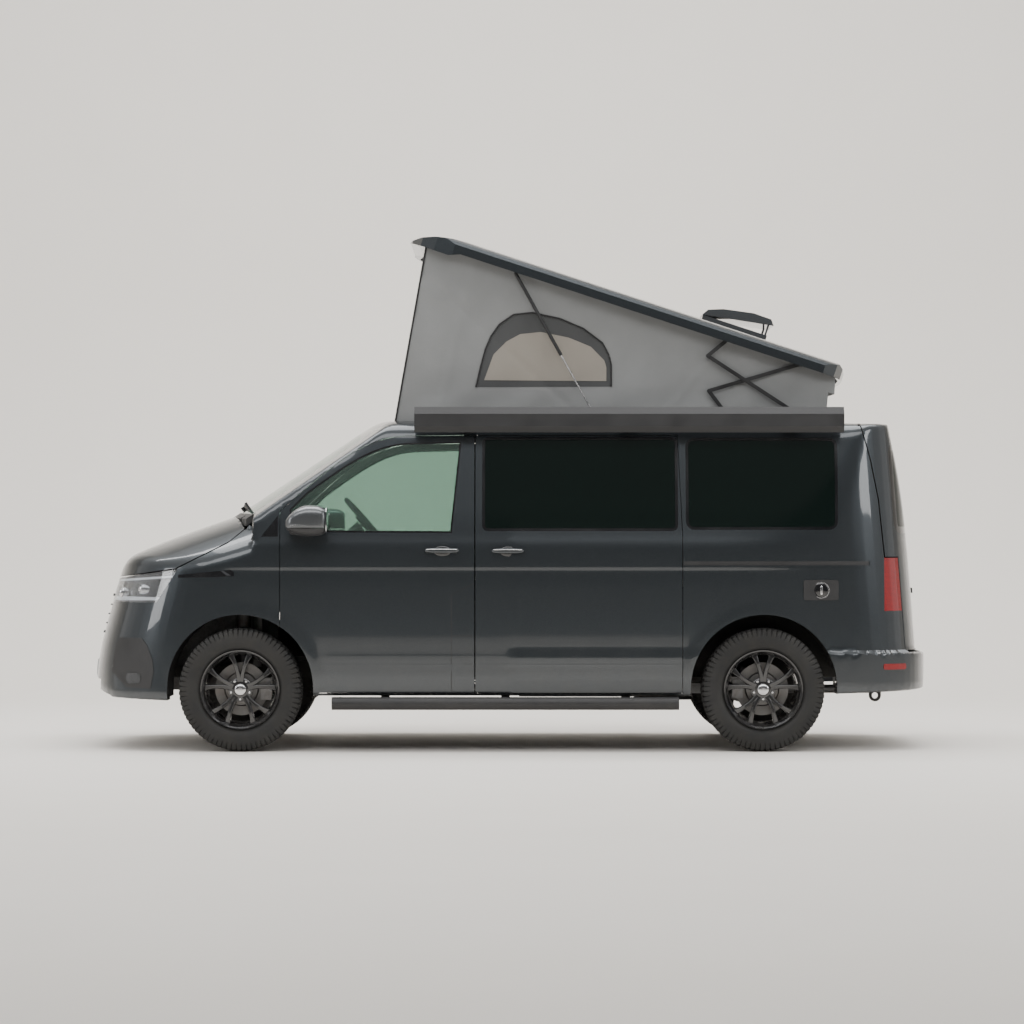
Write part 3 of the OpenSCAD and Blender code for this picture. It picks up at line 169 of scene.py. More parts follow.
half_section = [[0, 200]] + np.stack([section_v, section_s], axis=1).tolist() + bezier(
    [HALF_W - 116, below_roof(116)], [HALF_W - 126, below_roof(46)], [HALF_W - 190, below_roof(28)],
    [HALF_W - 262, below_roof(22)])[1:] + [[HALF_W * 0.37, below_roof(6)], [0, ROOF_H]]
plan_front = bezier([0, X_FRONT], [HALF_W * 0.59, X_FRONT], [HALF_W, X_FRONT - 60], [HALF_W, X_FA - 60], 24)
plan_tail = bezier([HALF_W, X_RA + 200], [HALF_W - 12, X_REAR + 60], [HALF_W * 0.8, X_REAR], [0, X_REAR], 24)

front_door_line = ([[DOOR_REAR, DOOR_LOW], [DOOR_FRONT, DOOR_LOW]]
                   + bezier([DOOR_FRONT, above_belt(138)], [X_FA - 527, below_roof(282)],
                            [X_FA - 687, below_roof(122)], [X_FA - 947, below_roof(110)])
                   + [[DOOR_REAR, DOOR_HIGH]])
slide_line = [[SLIDE_REAR, DOOR_LOW], [DOOR_REAR, DOOR_LOW], [DOOR_REAR, DOOR_HIGH], [SLIDE_REAR + 26, DOOR_HIGH],
              [SLIDE_REAR, BELT_H]]
door_glass_line = ([[X_FA - 285, above_belt(16)], [X_FA - 285, above_belt(150)]]
                   + bezier([X_FA - 384, above_belt(248)], [X_FA - 602, below_roof(281)],
                            [X_FA - 747, below_roof(160)], [X_FA - 965, below_roof(151)])
                   + [[X_FA - 1255, below_roof(143)], [X_FA - 1269, below_roof(150)], [X_FA - 1214, above_belt(12)]])
slide_glass_line = rounded(SLIDE_REAR + 27, above_belt(23), DOOR_REAR - 42, below_roof(118), 34)
quarter_glass_line = rounded(X_RA - 429, above_belt(30), SLIDE_REAR - 18, below_roof(122), 50)
gate_side_line = [[X_RA - 560, ROOF_H + 60], [X_RA - 560, below_roof(41)], [X_RA - 621, below_roof(250)],
                  [X_RA - 669, above_belt(204)], [X_RA - 706, above_belt(-131)]]
bonnet_line = [[X_FA - 53, above_belt(62)], [X_FA + 71, above_belt(-45)], [X_FA + 375, above_belt(-197)],
               [X_FRONT - 160, above_belt(-250)], [X_FRONT + 50, above_belt(-262)]]
LAMP_LOW = above_belt(-380)
bumper_line = [[X_FA + 358, above_belt(-490)], [X_FA + 485, LAMP_LOW - 8], [X_FRONT + 60, LAMP_LOW - 8]]
TAIL_SHELF, GATE_WIDE, GATE_HALF, TAIL_LAMP_LOW = 562.0, above_belt(-131), HALF_W - 262, above_belt(-437)


# ---------------------------------------------------------------- the body's smooth envelope
def outline_distance(points, px, py):
    """Signed distance from (px, py) to a closed outline, negative inside."""
    p = np.array(points, float)
    q = np.roll(p, -1, axis=0)
    shape = np.broadcast(px, py).shape
    x = np.broadcast_to(px, shape).ravel()
    y = np.broadcast_to(py, shape).ravel()
    best = np.full(x.shape, 1e18)
    inside = np.zeros(x.shape, bool)
    for (ax, ay), (bx, by) in zip(p, q):
        ex, ey = bx - ax, by - ay
        length = ex * ex + ey * ey
        if length < 1e-9:
            continue
        t = np.clip(((x - ax) * ex + (y - ay) * ey) / length, 0, 1)
        best = np.minimum(best, (x - ax - t * ex) ** 2 + (y - ay - t * ey) ** 2)
        if ay != by:
            hit = (ay > y) != (by > y)
            inside ^= hit & (x < ex * (y - ay) / ey + ax)
    d = np.sqrt(best)
    return np.where(inside, -d, d).reshape(shape)


def soft_max(a, b, k):
    h = np.maximum(k - np.abs(a - b), 0)
    return np.maximum(a, b) + h * h / (4 * k)


def step(t):
    t = np.clip(t, 0, 1)
    return t * t * (3 - 2 * t)


plan_full = [[x, y] for y, x in plan_front] + [[x, y] for y, x in plan_tail]
plan_full = plan_full + [[x, -y] for x, y in plan_full[::-1]]
profile_x, profile_z = np.linspace(X_REAR - 60, X_FRONT + 60, 330), np.linspace(180, ROOF_H + 50, 190)
profile_field = outline_distance(body_profile, profile_x[:, None], profile_z[None, :])
section_y, section_z = np.linspace(0, HALF_W + 80, 180), np.linspace(180, ROOF_H + 50, 260)
mirrored_section = half_section + [[-y, z] for y, z in half_section[::-1]]
section_field = outline_distance(mirrored_section, section_y[:, None], section_z[None, :])
plan_x, plan_y = np.linspace(X_REAR - 700, X_FRONT + 700, 520), np.linspace(0, HALF_W + 80, 150)
plan_field = outline_distance(plan_full, plan_x[:, None], plan_y[None, :])


def sample(field, gx, gy, x, y):
    """Bilinear reading of a regular field."""
    u = np.clip((x - gx[0]) / (gx[1] - gx[0]), 0, len(gx) - 1.001)
    v = np.clip((y - gy[0]) / (gy[1] - gy[0]), 0, len(gy) - 1.001)
    i, j = u.astype(int), v.astype(int)
    u, v = u - i, v - j
    return ((field[i, j] * (1 - u) + field[i + 1, j] * u) * (1 - v)
            + (field[i, j + 1] * (1 - u) + field[i + 1, j + 1] * u) * v)


def side_relief(x, z):
    """How far pressed features stand out of the plain side: crease, shoulder and arch lips."""
    crease = above_belt(-187)
    under = step((crease - z) / 14) * step((z - (crease - 120)) / 110)
    fade = step((X_FA + 420 - x) / 250) * step((x - X_REAR - 160) / 250)
    relief = -5.5 * under * fade
    relief = relief + 3.0 * step((z - 505) / 12) * step((575 - z) / 60) * step((X_FA - 440 - x) / 60) * step((x - X_RA - 440) / 60)
    for cx in (X_FA, X_RA - 3):
        r = np.hypot(x - cx, np.maximum(z - ARCH_Z, 0) + 0.0 * x)
        relief = relief + 9.0 * step((ARCH_R + 62 - r) / 34)
    return relief


def envelope(x, y, z):
    """Negative inside the van's outer surface, in millimetres."""
    a = np.abs(y)
    f = sample(profile_field, profile_x, profile_z, x, z)
    side = sample(section_field, section_y, section_z, a - side_relief(x, z) * (a > 500), z)
    f = soft_max(f, side, 26)
    f = soft_max(f, sample(plan_field, plan_x, plan_y, x, a), 20)
    nose_shift = (z - NOSE_LOW[1]) * math.tan(NOSE_LEAN)
    nose = sample(plan_field, plan_x, plan_y, np.maximum(x, 0) + np.maximum(nose_shift, -300), a) * math.cos(NOSE_LEAN)
    f = np.where(x > 0, soft_max(f, nose, 46), f)
    tail_shift = (z - GATE_LOW[1]) * math.tan(TAIL_LEAN) + (GATE_LOW[0] - 12 - X_REAR)
    tail = sample(plan_field, plan_x, plan_y, np.minimum(x, 0) - tail_shift, a)
    shelf = step((z - TAIL_SHELF + 3) / 6)
    f = np.where(x < 0, np.where(shelf > 0, soft_max(f, tail - (1 - shelf) * 400, 30), f), f)
    c, s = math.cos(math.radians(SCREEN_DEG)), math.sin(math.radians(SCREEN_DEG))
    n = (x - SCREEN_LOW[0]) * s + (z - SCREEN_LOW[1]) * c
    barrel = n - (np.sqrt(SCREEN_R**2 - a**2) - SCREEN_R)
    behind = np.hypot(x - (COWL_X - COWL_R), a) - COWL_R
    f = np.where((behind < 0), soft_max(f, barrel, 24), f)
    bc, bs = math.cos(BONNET_LEAN), math.sin(BONNET_LEAN)
    fall = 180 * (a / (HALF_W - 72)) ** 4
    crown = ((x - BONNET_END[0]) * bs + (z - BONNET_END[1]) * bc + fall) / np.sqrt(1 + (fall * 4 / np.maximum(a, 1)) ** 2)
    ahead = (behind >= 0) | ((a > HALF_W - 160) & (x > X_FA - 70))
    return np.where(ahead, soft_max(f, crown, 40), f)


def surface_net(values, gx, gy, gz, level):
    """Closed quad surface of values = level on a box grid (naive surface nets)."""
    v = values - level
    sign = v < 0
    nx, ny, nz = v.shape
    cell = np.zeros((nx - 1, ny - 1, nz - 1), int)
    total = np.zeros((nx - 1, ny - 1, nz - 1, 3))
    count = np.zeros((nx - 1, ny - 1, nz - 1))
    grids = (gx, gy, gz)
    for axis in range(3):
        lo = [slice(0, -1) if k == axis else slice(None) for k in range(3)]
        hi = [slice(1, None) if k == axis else slice(None) for k in range(3)]
        a, b = v[tuple(lo)], v[tuple(hi)]
        hit = sign[tuple(lo)] != sign[tuple(hi)]
        t = np.where(hit, a / np.where(a - b == 0, 1, a - b), 0)
        idx = np.nonzero(hit)
        tt = t[idx]
        pos = np.empty((len(tt), 3))
        for k in range(3):
            pos[:, k] = grids[k][idx[k]]
        pos[:, axis] += tt * (grids[axis][idx[axis] + 1] - grids[axis][idx[axis]])
        others = [k for k in range(3) if k != axis]
        for d0 in (0, -1):
            for d1 in (0, -1):
                c = [idx[0].copy(), idx[1].copy(), idx[2].copy()]
                c[others[0]] = c[others[0]] + d0
                c[others[1]] = c[others[1]] + d1
                np.add.at(total, tuple(c), pos)
                np.add.at(count, tuple(c), 1)
    used = count > 0
    cell[used] = np.arange(used.sum())
    verts = total[used] / count[used][:, None]
    quads = []
    for axis in range(3):
        lo = [slice(0, -1) if k == axis else slice(1, -1) for k in range(3)]
        hi = [slice(1, None) if k == axis else slice(1, -1) for k in range(3)]
        s0, s1 = sign[tuple(lo)], sign[tuple(hi)]
        i = list(np.nonzero(s0 != s1))
        for k in range(3):
            if k != axis:
                i[k] = i[k] + 1
        inside_first = sign[tuple(i)]
        u, w = [k for k in range(3) if k != axis]
        corners = []
        for du, dw in ((-1, -1), (0, -1), (0, 0), (-1, 0)):
            c = [i[0].copy(), i[1].copy(), i[2].copy()]
            c[u] = c[u] + du
            c[w] = c[w] + dw
            corners.append(cell[tuple(c)])
        q = np.stack(corners, axis=1)
        flip = inside_first if axis != 1 else ~inside_first
        q[~flip] = q[~flip][:, ::-1]
        quads.append(q)
    return verts, np.concatenate(quads)


def settle(verts, level):
    """Moves vertices onto the envelope's level surface."""
    e = 1.0
    for _ in range(3):
        x, y, z = verts.T
        f = envelope(x, y, z) - level
        g = np.stack([envelope(x + e, y, z) - envelope(x - e, y, z), envelope(x, y + e, z) - envelope(x, y - e, z),
                      envelope(x, y, z + e) - envelope(x, y, z - e)], axis=1) / (2 * e)
        move = -(f / np.maximum((g**2).sum(1), 0.25))[:, None] * g
        size = np.linalg.norm(move, axis=1)[:, None]
        verts = verts + move * np.minimum(1, 8 / np.maximum(size, 1e-9))
    return verts


def spread(*spans):
    """Grid lines from (start, step) spans, ending at the last start."""
    out = []
    for (a, h), (b, _) in zip(spans[:-1], spans[1:]):
        n = max(1, int(round((b - a) / h)))
        out += list(np.linspace(a, b, n, endpoint=False))
    return np.array(out + [spans[-1][0]])


def mesh_object(name, verts, faces, scale=MM):
    mesh = bpy.data.meshes.new(name)
    verts = np.asarray(verts, float) * scale
    mesh.from_pydata(verts.tolist(), [], [list(map(int, f)) for f in faces])
    mesh.update()
    obj = bpy.data.objects.new(name, mesh)
    bpy.context.scene.collection.objects.link(obj)
    return obj


grid_x = spread((X_REAR - 20, 14), (X_REAR + 420, 26), (X_FA + 100, 20), (X_FRONT + 20, 20))
grid_y = spread((0, 34), (HALF_W * 0.7, 18), (HALF_W + 30, 18))
grid_y = np.concatenate([-grid_y[:0:-1], grid_y])
grid_z = spread((230, 26), (900, 20), (1000, 9), (1075, 22), (1780, 14), (ROOF_H + 30, 14))
field = envelope(*np.meshgrid(grid_x, grid_y, grid_z, indexing="ij"))
envelopes = {}


def envelope_solid(t):
    """Closed smooth solid of the body, moved inwards by t."""
    if t not in envelopes:
        verts, quads = surface_net(field, grid_x, grid_y, grid_z, -t)
        obj = mesh_object("envelope_%g" % t, settle(verts, -t), quads)
        obj.hide_render = True
        envelopes[t] = obj
    return envelopes[t]


# ---------------------------------------------------------------- cutting tools
def prism(points, low, high, plane="xz"):
    """Closed prism of an outline: xz across y, yz along x, or xy up z."""
    p = np.array(points, float)
    n = len(p)
    put = {"xz": lambda q, d: (q[0], d, q[1]), "yz": lambda q, d: (d, q[0], q[1]), "xy": lambda q, d: (q[0], q[1], d)}[plane]
    verts = [put(q, low) for q in p] + [put(q, high) for q in p]
    faces = [list(range(n))[::-1], list(range(n, 2 * n))] + [[i, (i + 1) % n, (i + 1) % n + n, i + n] for i in range(n)]
    obj = mesh_object("tool", verts, faces)
    bm = bmesh.new()
    bm.from_mesh(obj.data)
    bmesh.ops.recalc_face_normals(bm, faces=bm.faces)
    bmesh.ops.triangulate(bm, faces=bm.faces)
    bm.to_mesh(obj.data)
    bm.free()
    return obj


def block(low, high):
    return prism([[low[0], low[1]], [high[0], low[1]], [high[0], high[1]], [low[0], high[1]]], low[2], high[2], "xy")


def disc(cx, cz, r, y0, y1, n=96):
    return prism([[cx + r * math.cos(2 * math.pi * i / n), cz + r * math.sin(2 * math.pi * i / n)] for i in range(n)], y0, y1)


def drum(cx, cy, r, z0, z1, n=240):
    return prism([[cx + r * math.cos(2 * math.pi * i / n), cy + r * math.sin(2 * math.pi * i / n)] for i in range(n)], z0, z1, "xy")


def apply_modifiers(obj):
    graph = bpy.context.evaluated_depsgraph_get()
    mesh = bpy.data.meshes.new_from_object(obj.evaluated_get(graph))
    obj.modifiers.clear()
    old, obj.data = obj.data, mesh
    bpy.data.meshes.remove(old)
    return obj


def combine(obj, others, how):
    for other in others:
        mod = obj.modifiers.new("cut", "BOOLEAN")
        mod.operation, mod.solver, mod.object = how, "MANIFOLD", other
    return apply_modifiers(obj)


def copy_of(obj, name):
    new = obj.copy()
    new.data = obj.data.copy()
    new.name = name
    new.hide_render = False
    bpy.context.scene.collection.objects.link(new)
    return new


def forget(objs):
    for o in objs:
        data = o.data
        bpy.data.objects.remove(o)
        if data.users == 0:
            bpy.data.meshes.remove(data)


def panel(name, t, region, cuts=(), outer=0):
    """Piece of the body's shell, t thick, inside the region's tools and outside the cuts."""
    obj = copy_of(envelope_solid(outer), name)
    combine(obj, [region], "INTERSECT")
    combine(obj, [envelope_solid(t)] + list(cuts), "DIFFERENCE")
    return obj


# ---------------------------------------------------------------- materials
def node_group(name, inputs, outputs, build):
    """Shader node group: inputs are (name, kind, default), outputs are (name, kind)."""
    tree = bpy.data.node_groups.new(name, "ShaderNodeTree")
    for label, kind, value in inputs:
        sock = tree.interface.new_socket(label, in_out="INPUT", socket_type="NodeSocket" + kind)
        sock.default_value = value
    for label, kind in outputs:
        tree.interface.new_socket(label, in_out="OUTPUT", socket_type="NodeSocket" + kind)
    gi, go = tree.nodes.new("NodeGroupInput"), tree.nodes.new("NodeGroupOutput")
    build(Nodes(tree), gi.outputs, go.inputs, tree)
    return tree


class Nodes:
    """Short way to add and link nodes in a tree."""

    def __init__(self, tree):
        self.tree = tree

    def put(self, target, value):
        if hasattr(value, "is_output"):
            self.tree.links.new(value, target)
        else:
            target.default_value = value

    def add(self, kind, inputs=None, **settings):
        node = self.tree.nodes.new("ShaderNode" + kind)
        for key, value in settings.items():
            setattr(node, key, value)
        for key, value in (inputs or {}).items():
            self.put(node.inputs[key], value)
        return node

    def place(self):
        return self.add("TexCoord").outputs["Object"]

    def noise(self, scale, detail=3.0, vector=None, rough=0.5):
        node = self.add("TexNoise", {"Scale": scale, "Detail": detail, "Roughness": rough})
        self.put(node.inputs["Vector"], vector or self.place())
        return node.outputs["Fac"]

    def math(self, op, a, b=0.0, clamp=False):
        node = self.add("Math", {0: a, 1: b}, operation=op, use_clamp=clamp)
        return node.outputs[0]

    def ramp(self, value, low, high, to_low=0.0, to_high=1.0):
        node = self.add("MapRange", {"Value": value, "From Min": low, "From Max": high, "To Min": to_low, "To Max": to_high})
        return node.outputs[0]

    def mix(self, factor, a, b):
        node = self.add("Mix", data_type="RGBA")
        self.put(node.inputs["Factor"], factor)
        self.put(node.inputs[6], a)
        self.put(node.inputs[7], b)
        return node.outputs[2]

    def group(self, tree, **inputs):
        node = self.tree.nodes.new("ShaderNodeGroup")
        node.node_tree = tree
        for key, value in inputs.items():
            self.put(node.inputs[key], value)
        return node.outputs

    def bump(self, height, strength, distance):
        return self.add("Bump", {"Height": height, "Strength": strength, "Distance": distance}).outputs[0]


def build_grain(n, i, o, tree):
    h = n.noise(i["Scale"], 4.0)
    n.put(o["Height"], h)
    n.put(o["Mask"], n.ramp(n.noise(6.0, 3.0), 0.35, 0.7))


def build_dust(n, i, o, tree):
    z = n.add("SeparateXYZ", {0: n.place()}).outputs["Z"]
    low = n.ramp(z, i["Top"], 0.15, 0.0, 1.0)
    n.put(o["Mask"], n.math("MULTIPLY", n.math("MULTIPLY", low, n.ramp(n.noise(9.0, 5.0), 0.3, 0.75)), i["Amount"], True))


def build_weave(n, i, o, tree):
    place = n.place()
    a = n.add("TexWave", {"Vector": place, "Scale": i["Scale"]}, bands_direction="Z").outputs["Fac"]
    b = n.add("TexWave", {"Vector": place, "Scale": i["Scale"]}, bands_direction="DIAGONAL").outputs["Fac"]
    n.put(o["Height"], n.math("MAXIMUM", a, b))
    n.put(o["Mask"], n.math("MULTIPLY", n.noise(i["Scale"], 2.0), n.math("ADD", a, b), True))


def build_flake(n, i, o, tree):
    cell = n.add("TexVoronoi", {"Vector": n.place(), "Scale": i["Scale"]}).outputs["Color"]
    n.put(o["Value"], n.add("SeparateColor", {0: cell}).outputs[0])


def build_wear(n, i, o, tree):
    edge = n.add("NewGeometry").outputs["Pointiness"]
    n.put(o["Mask"], n.math("MULTIPLY", n.ramp(edge, 0.52, 0.62), n.noise(i["Scale"], 4.0), True))


grain = node_group("Grain", [("Scale", "Float", 900.0)], [("Height", "Float"), ("Mask", "Float")], build_grain)
dust = node_group("Dust", [("Top", "Float", 0.8), ("Amount", "Float", 0.2)], [("Mask", "Float")], build_dust)
weave = node_group("Weave", [("Scale", "Float", 300.0)], [("Height", "Float"), ("Mask", "Float")], build_weave)
flake = node_group("Flake", [("Scale", "Float", 1400.0)], [("Value", "Float")], build_flake)
wear = node_group("Wear", [("Scale", "Float", 40.0)], [("Mask", "Float")], build_wear)


def rgb(*c):
    return (c[0], c[1], c[2], 1.0)


def material(name, build):
    mat = bpy.data.materials.new(name)
    mat.use_nodes = True
    tree = mat.node_tree
    n = Nodes(tree)
    build(n, tree.nodes["Principled BSDF"].inputs)
    return mat


def paint_of(colour, light, rough=0.3, dirty=0.12, coat=1.0, metallic=0.75):
    def build(n, p):
        spark = n.group(flake, Scale=1500.0)["Value"]
        base = n.mix(n.ramp(spark, 0.5, 1.0, 0.0, 0.35), rgb(*colour), rgb(*light))
        soil = n.group(dust, Top=0.75, Amount=dirty)["Mask"]
        n.put(p["Base Color"], n.mix(soil, base, rgb(0.16, 0.145, 0.125)))
        n.put(p["Metallic"], n.ramp(soil, 0.0, 0.6, metallic, 0.1))
        n.put(p["Roughness"], n.ramp(soil, 0.0, 0.6, rough, 0.8))
        n.put(p["Coat Weight"], n.ramp(soil, 0.0, 0.5, coat, 0.1))
        n.put(p["Coat Roughness"], 0.035)
        n.put(p["Normal"], n.bump(n.noise(700.0, 2.0), 0.02, 0.0006))
    return build


def plastic_of(colour, rough, scale=900.0, depth=0.25, dirty=0.1, top=0.7, coat=0.0):
    def build(n, p):
        g = n.group(grain, Scale=scale)
        soil = n.group(dust, Top=top, Amount=dirty)["Mask"]
        tone = n.mix(g["Mask"], rgb(*colour), rgb(*[min(1, c * 1.35 + 0.002) for c in colour]))
        n.put(p["Base Color"], n.mix(soil, tone, rgb(0.15, 0.135, 0.115)))
        n.put(p["Roughness"], n.ramp(g["Mask"], 0.0, 1.0, rough, min(1.0, rough + 0.12)))
        n.put(p["Coat Weight"], coat)
        n.put(p["Normal"], n.bump(g["Height"], depth, 0.0006))
    return build


def metal_of(colour, rough, scale=300.0, rust=0.0):
    def build(n, p):
        g = n.group(grain, Scale=scale)
        worn = n.group(wear, Scale=50.0)["Mask"]
        tone = n.mix(n.math("MULTIPLY", g["Mask"], 0.6), rgb(*colour), rgb(*[c * 0.7 for c in colour]))
        tone = n.mix(n.math("MULTIPLY", n.ramp(n.noise(14.0, 6.0), 0.5, 0.75), rust), tone, rgb(0.13, 0.07, 0.04))
        n.put(p["Base Color"], n.mix(worn, tone, rgb(*[min(1, c * 1.5) for c in colour])))
        n.put(p["Metallic"], 1.0)
        n.put(p["Roughness"], n.ramp(g["Height"], 0.2, 0.8, rough * 0.8, min(1.0, rough * 1.3)))
        n.put(p["Normal"], n.bump(g["Height"], 0.12, 0.0008))
    return build


def cloth_of(colour, light, scale, fold=0.0, rough=0.9):
    def build(n, p):
        w = n.group(weave, Scale=scale)
        patches = n.ramp(n.noise(5.0, 5.0), 0.3, 0.7)
        tone = n.mix(n.math("MULTIPLY", w["Mask"], 0.5), rgb(*colour), rgb(*light))
        n.put(p["Base Color"], n.mix(n.math("MULTIPLY", patches, 0.35), tone, rgb(*[c * 0.82 for c in colour])))
        n.put(p["Roughness"], rough)
        n.put(p["Sheen Weight"], 0.2)
        height = w["Height"]
        if fold:
            height = n.math("ADD", n.math("MULTIPLY", height, 0.04), n.math("MULTIPLY", n.noise(fold, 4.0, rough=0.6), 1.0))
        n.put(p["Normal"], n.bump(height, 0.5, 0.0009 if not fold else 0.006))
    return build


def glass_of(tint, dark, clear):
    """Tinted glass seen through at arm's length: part tint, part transmission."""
    def build(n, p):
        soil = n.ramp(n.noise(4.0, 5.0), 0.45, 0.9, 0.0, 0.08)
        n.put(p["Base Color"], n.mix(soil, rgb(*tint), rgb(*dark)))
        n.put(p["Roughness"], n.ramp(n.noise(7.0, 3.0), 0.3, 0.8, 0.0, 0.03))
        n.put(p["Metallic"], 0.0)
        n.put(p["Transmission Weight"], clear)
        n.put(p["IOR"], 1.5)
        n.put(p["Normal"], n.bump(n.noise(2.5, 1.0), 0.015, 0.01))
    return build


def rubber_of(n, p):
    g = n.group(grain, Scale=420.0)
    soil = n.ramp(n.noise(12.0, 6.0), 0.35, 0.8, 0.0, 0.4)
    n.put(p["Base Color"], n.mix(soil, rgb(0.014, 0.014, 0.014), rgb(0.05, 0.046, 0.04)))
    n.put(p["Roughness"], n.ramp(g["Mask"], 0.0, 1.0, 0.72, 0.9))
    n.put(p["Normal"], n.bump(g["Height"], 0.35, 0.001))


def mesh_of(n, p):
    """Insect mesh: fine dark threads over a pale ground."""
    place = n.place()
    a = n.add("TexWave", {"Vector": place, "Scale": 260.0}, bands_direction="X").outputs["Fac"]
    b = n.add("TexWave", {"Vector": place, "Scale": 260.0}, bands_direction="Z").outputs["Fac"]
    thread = n.math("MAXIMUM", a, b)
    n.put(p["Base Color"], n.mix(n.ramp(thread, 0.6, 0.95), rgb(0.2, 0.185, 0.16), rgb(0.34, 0.31, 0.27)))
    n.put(p["Roughness"], 0.95)
    n.put(p["Normal"], n.bump(thread, 0.3, 0.0006))


def board_of(n, p):
    rings = n.add("TexWave", {"Vector": n.place(), "Scale": 3.0, "Distortion": 6.0, "Detail": 4.0}, bands_direction="Y").outputs["Fac"]
    n.put(p["Base Color"], n.mix(rings, rgb(0.52, 0.47, 0.4), rgb(0.43, 0.38, 0.31)))
    n.put(p["Roughness"], n.ramp(rings, 0.0, 1.0, 0.4, 0.52))
    n.put(p["Normal"], n.bump(rings, 0.05, 0.001))


def light_of(n, p):
    ribs = n.add("TexWave", {"Vector": n.place(), "Scale": 60.0}, bands_direction="Y").outputs["Fac"]
    n.put(p["Base Color"], n.mix(ribs, rgb(0.85, 0.87, 0.9), rgb(0.6, 0.63, 0.68)))
    n.put(p["Roughness"], 0.18)
    n.put(p["Emission Color"], n.mix(ribs, rgb(1, 1, 1), rgb(0.7, 0.75, 0.8)))
    n.put(p["Emission Strength"], 0.25)


def red_of(n, p):
    ribs = n.add("TexWave", {"Vector": n.place(), "Scale": 45.0}, bands_direction="Z").outputs["Fac"]
    n.put(p["Base Color"], n.mix(ribs, rgb(0.3, 0.004, 0.006), rgb(0.14, 0.002, 0.003)))
    n.put(p["Roughness"], n.ramp(ribs, 0.0, 1.0, 0.1, 0.2))
    n.put(p["Coat Weight"], 1.0)


MATS = {
    "body_paint": material("body paint", paint_of((0.034, 0.04, 0.045), (0.13, 0.145, 0.16))),
    "silver_paint": material("silver paint", paint_of((0.1, 0.106, 0.112), (0.24, 0.25, 0.26), dirty=0.0)),
    "wheel_paint": material("gloss black wheel", paint_of((0.008, 0.008, 0.009), (0.03, 0.03, 0.032), 0.2, 0.15, 1.0, 0.1)),
    "black_trim": material("grained black plastic", plastic_of((0.016, 0.016, 0.017), 0.45)),
    "gloss_black": material("gloss black plastic", plastic_of((0.006, 0.006, 0.007), 0.1, 200.0, 0.02, 0.03, 0.7, 1.0)),
    "cabin_trim": material("cabin plastic", plastic_of((0.035, 0.036, 0.038), 0.6, 700.0, 0.4, 0.0)),
    "cabin_panel": material("cabin panel", plastic_of((0.13, 0.13, 0.125), 0.7, 500.0, 0.4, 0.0)),
    "white_panel": material("white shell lining", plastic_of((0.62, 0.63, 0.62), 0.5, 300.0, 0.1, 0.0)),
    "arm_paint": material("black coated steel", plastic_of((0.012, 0.012, 0.013), 0.35, 500.0, 0.1, 0.0)),
    "underseal": material("underseal", plastic_of((0.02, 0.02, 0.02), 0.85, 120.0, 0.8, 0.5, 0.6)),
    "steel": material("chassis steel", metal_of((0.2, 0.2, 0.2), 0.5, 200.0, 0.5)),
    "disc_steel": material("brake disc", metal_of((0.2, 0.195, 0.19), 0.45, 500.0, 0.25)),
    "bright_steel": material("bright steel", metal_of((0.62, 0.62, 0.63), 0.18)),
    "chrome": material("chrome", metal_of((0.75, 0.76, 0.78), 0.07, 60.0)),
    "cast_metal": material("cast metal", metal_of((0.13, 0.13, 0.13), 0.65, 90.0, 0.3)),
    "tyre_rubber": material("tread rubber", rubber_of),
    "glass_front": material("pale green glass", glass_of((0.42, 0.58, 0.5), (0.4, 0.5, 0.46), 0.93)),
    "glass_rear": material("privacy glass", glass_of((0.004, 0.01, 0.008), (0.006, 0.01, 0.009), 0.3)),
    "lens": material("clear lens", glass_of((0.9, 0.92, 0.94), (0.7, 0.72, 0.74), 0.95)),
    "light": material("running light", light_of),
    "red_lens": material("red lens", red_of),
    "canvas_cloth": material("tent canvas", cloth_of((0.2, 0.205, 0.205), (0.3, 0.305, 0.305), 320.0, 3.5)),
    "band_cloth": material("dark tent band", cloth_of((0.05, 0.052, 0.053), (0.09, 0.092, 0.094), 320.0, 4.0)),
    "binding": material("binding tape", cloth_of((0.012, 0.012, 0.013), (0.03, 0.03, 0.03), 500.0)),
    "mesh_cloth": material("insect mesh", mesh_of),
    "seat_cloth": material("seat cloth", cloth_of((0.05, 0.053, 0.056), (0.11, 0.115, 0.12), 180.0)),
    "cabinet_board": material("cabinet board", board_of),
}


def clad(obj, name):
    obj.data.materials.clear()
    obj.data.materials.append(MATS[name])
    return obj


def smooth(obj, degrees=32):
    obj.data.polygons.foreach_set("use_smooth", [True] * len(obj.data.polygons))
    obj.data.set_sharp_from_angle(angle=math.radians(degrees))
    return obj


def mirror_y(obj, name):
    """Turns a left piece into its right-hand twin."""
    new = obj
    new.name = name
    co = np.empty(len(new.data.vertices) * 3)
    new.data.vertices.foreach_get("co", co)
    co[1::3] *= -1
    new.data.vertices.foreach_set("co", co)
    new.data.flip_normals()
    new.data.update()
    return new


def line_inside(obj, t, name):
    """Gives the faces on the cabin side of a wall their own lining."""
    obj.data.materials.append(MATS[name])
    n = len(obj.data.polygons)
    c = np.empty(n * 3)
    obj.data.polygons.foreach_get("center", c)
    c = c.reshape(-1, 3) / MM
    deep = envelope(c[:, 0], c[:, 1], c[:, 2]) < -t + 4
    obj.data.polygons.foreach_set("material_index", deep.astype(int))
    obj.data.update()


# ---------------------------------------------------------------- body panels
def arch_tools(extra=0.0, x_only=None):
    out = []
    for cx in (X_FA, X_RA - 3) if x_only is None else (x_only,):
        out.append(disc(cx, ARCH_Z, ARCH_R + extra, -1500, 1500))
        out.append(block((cx - ARCH_R - extra, -1500, 0), (cx + ARCH_R + extra, 1500, ARCH_Z)))
    return out


def belly():
    return block((-3000, -HALF_W + WALL_T + 54, 0), (3000, HALF_W - WALL_T - 54, 480))


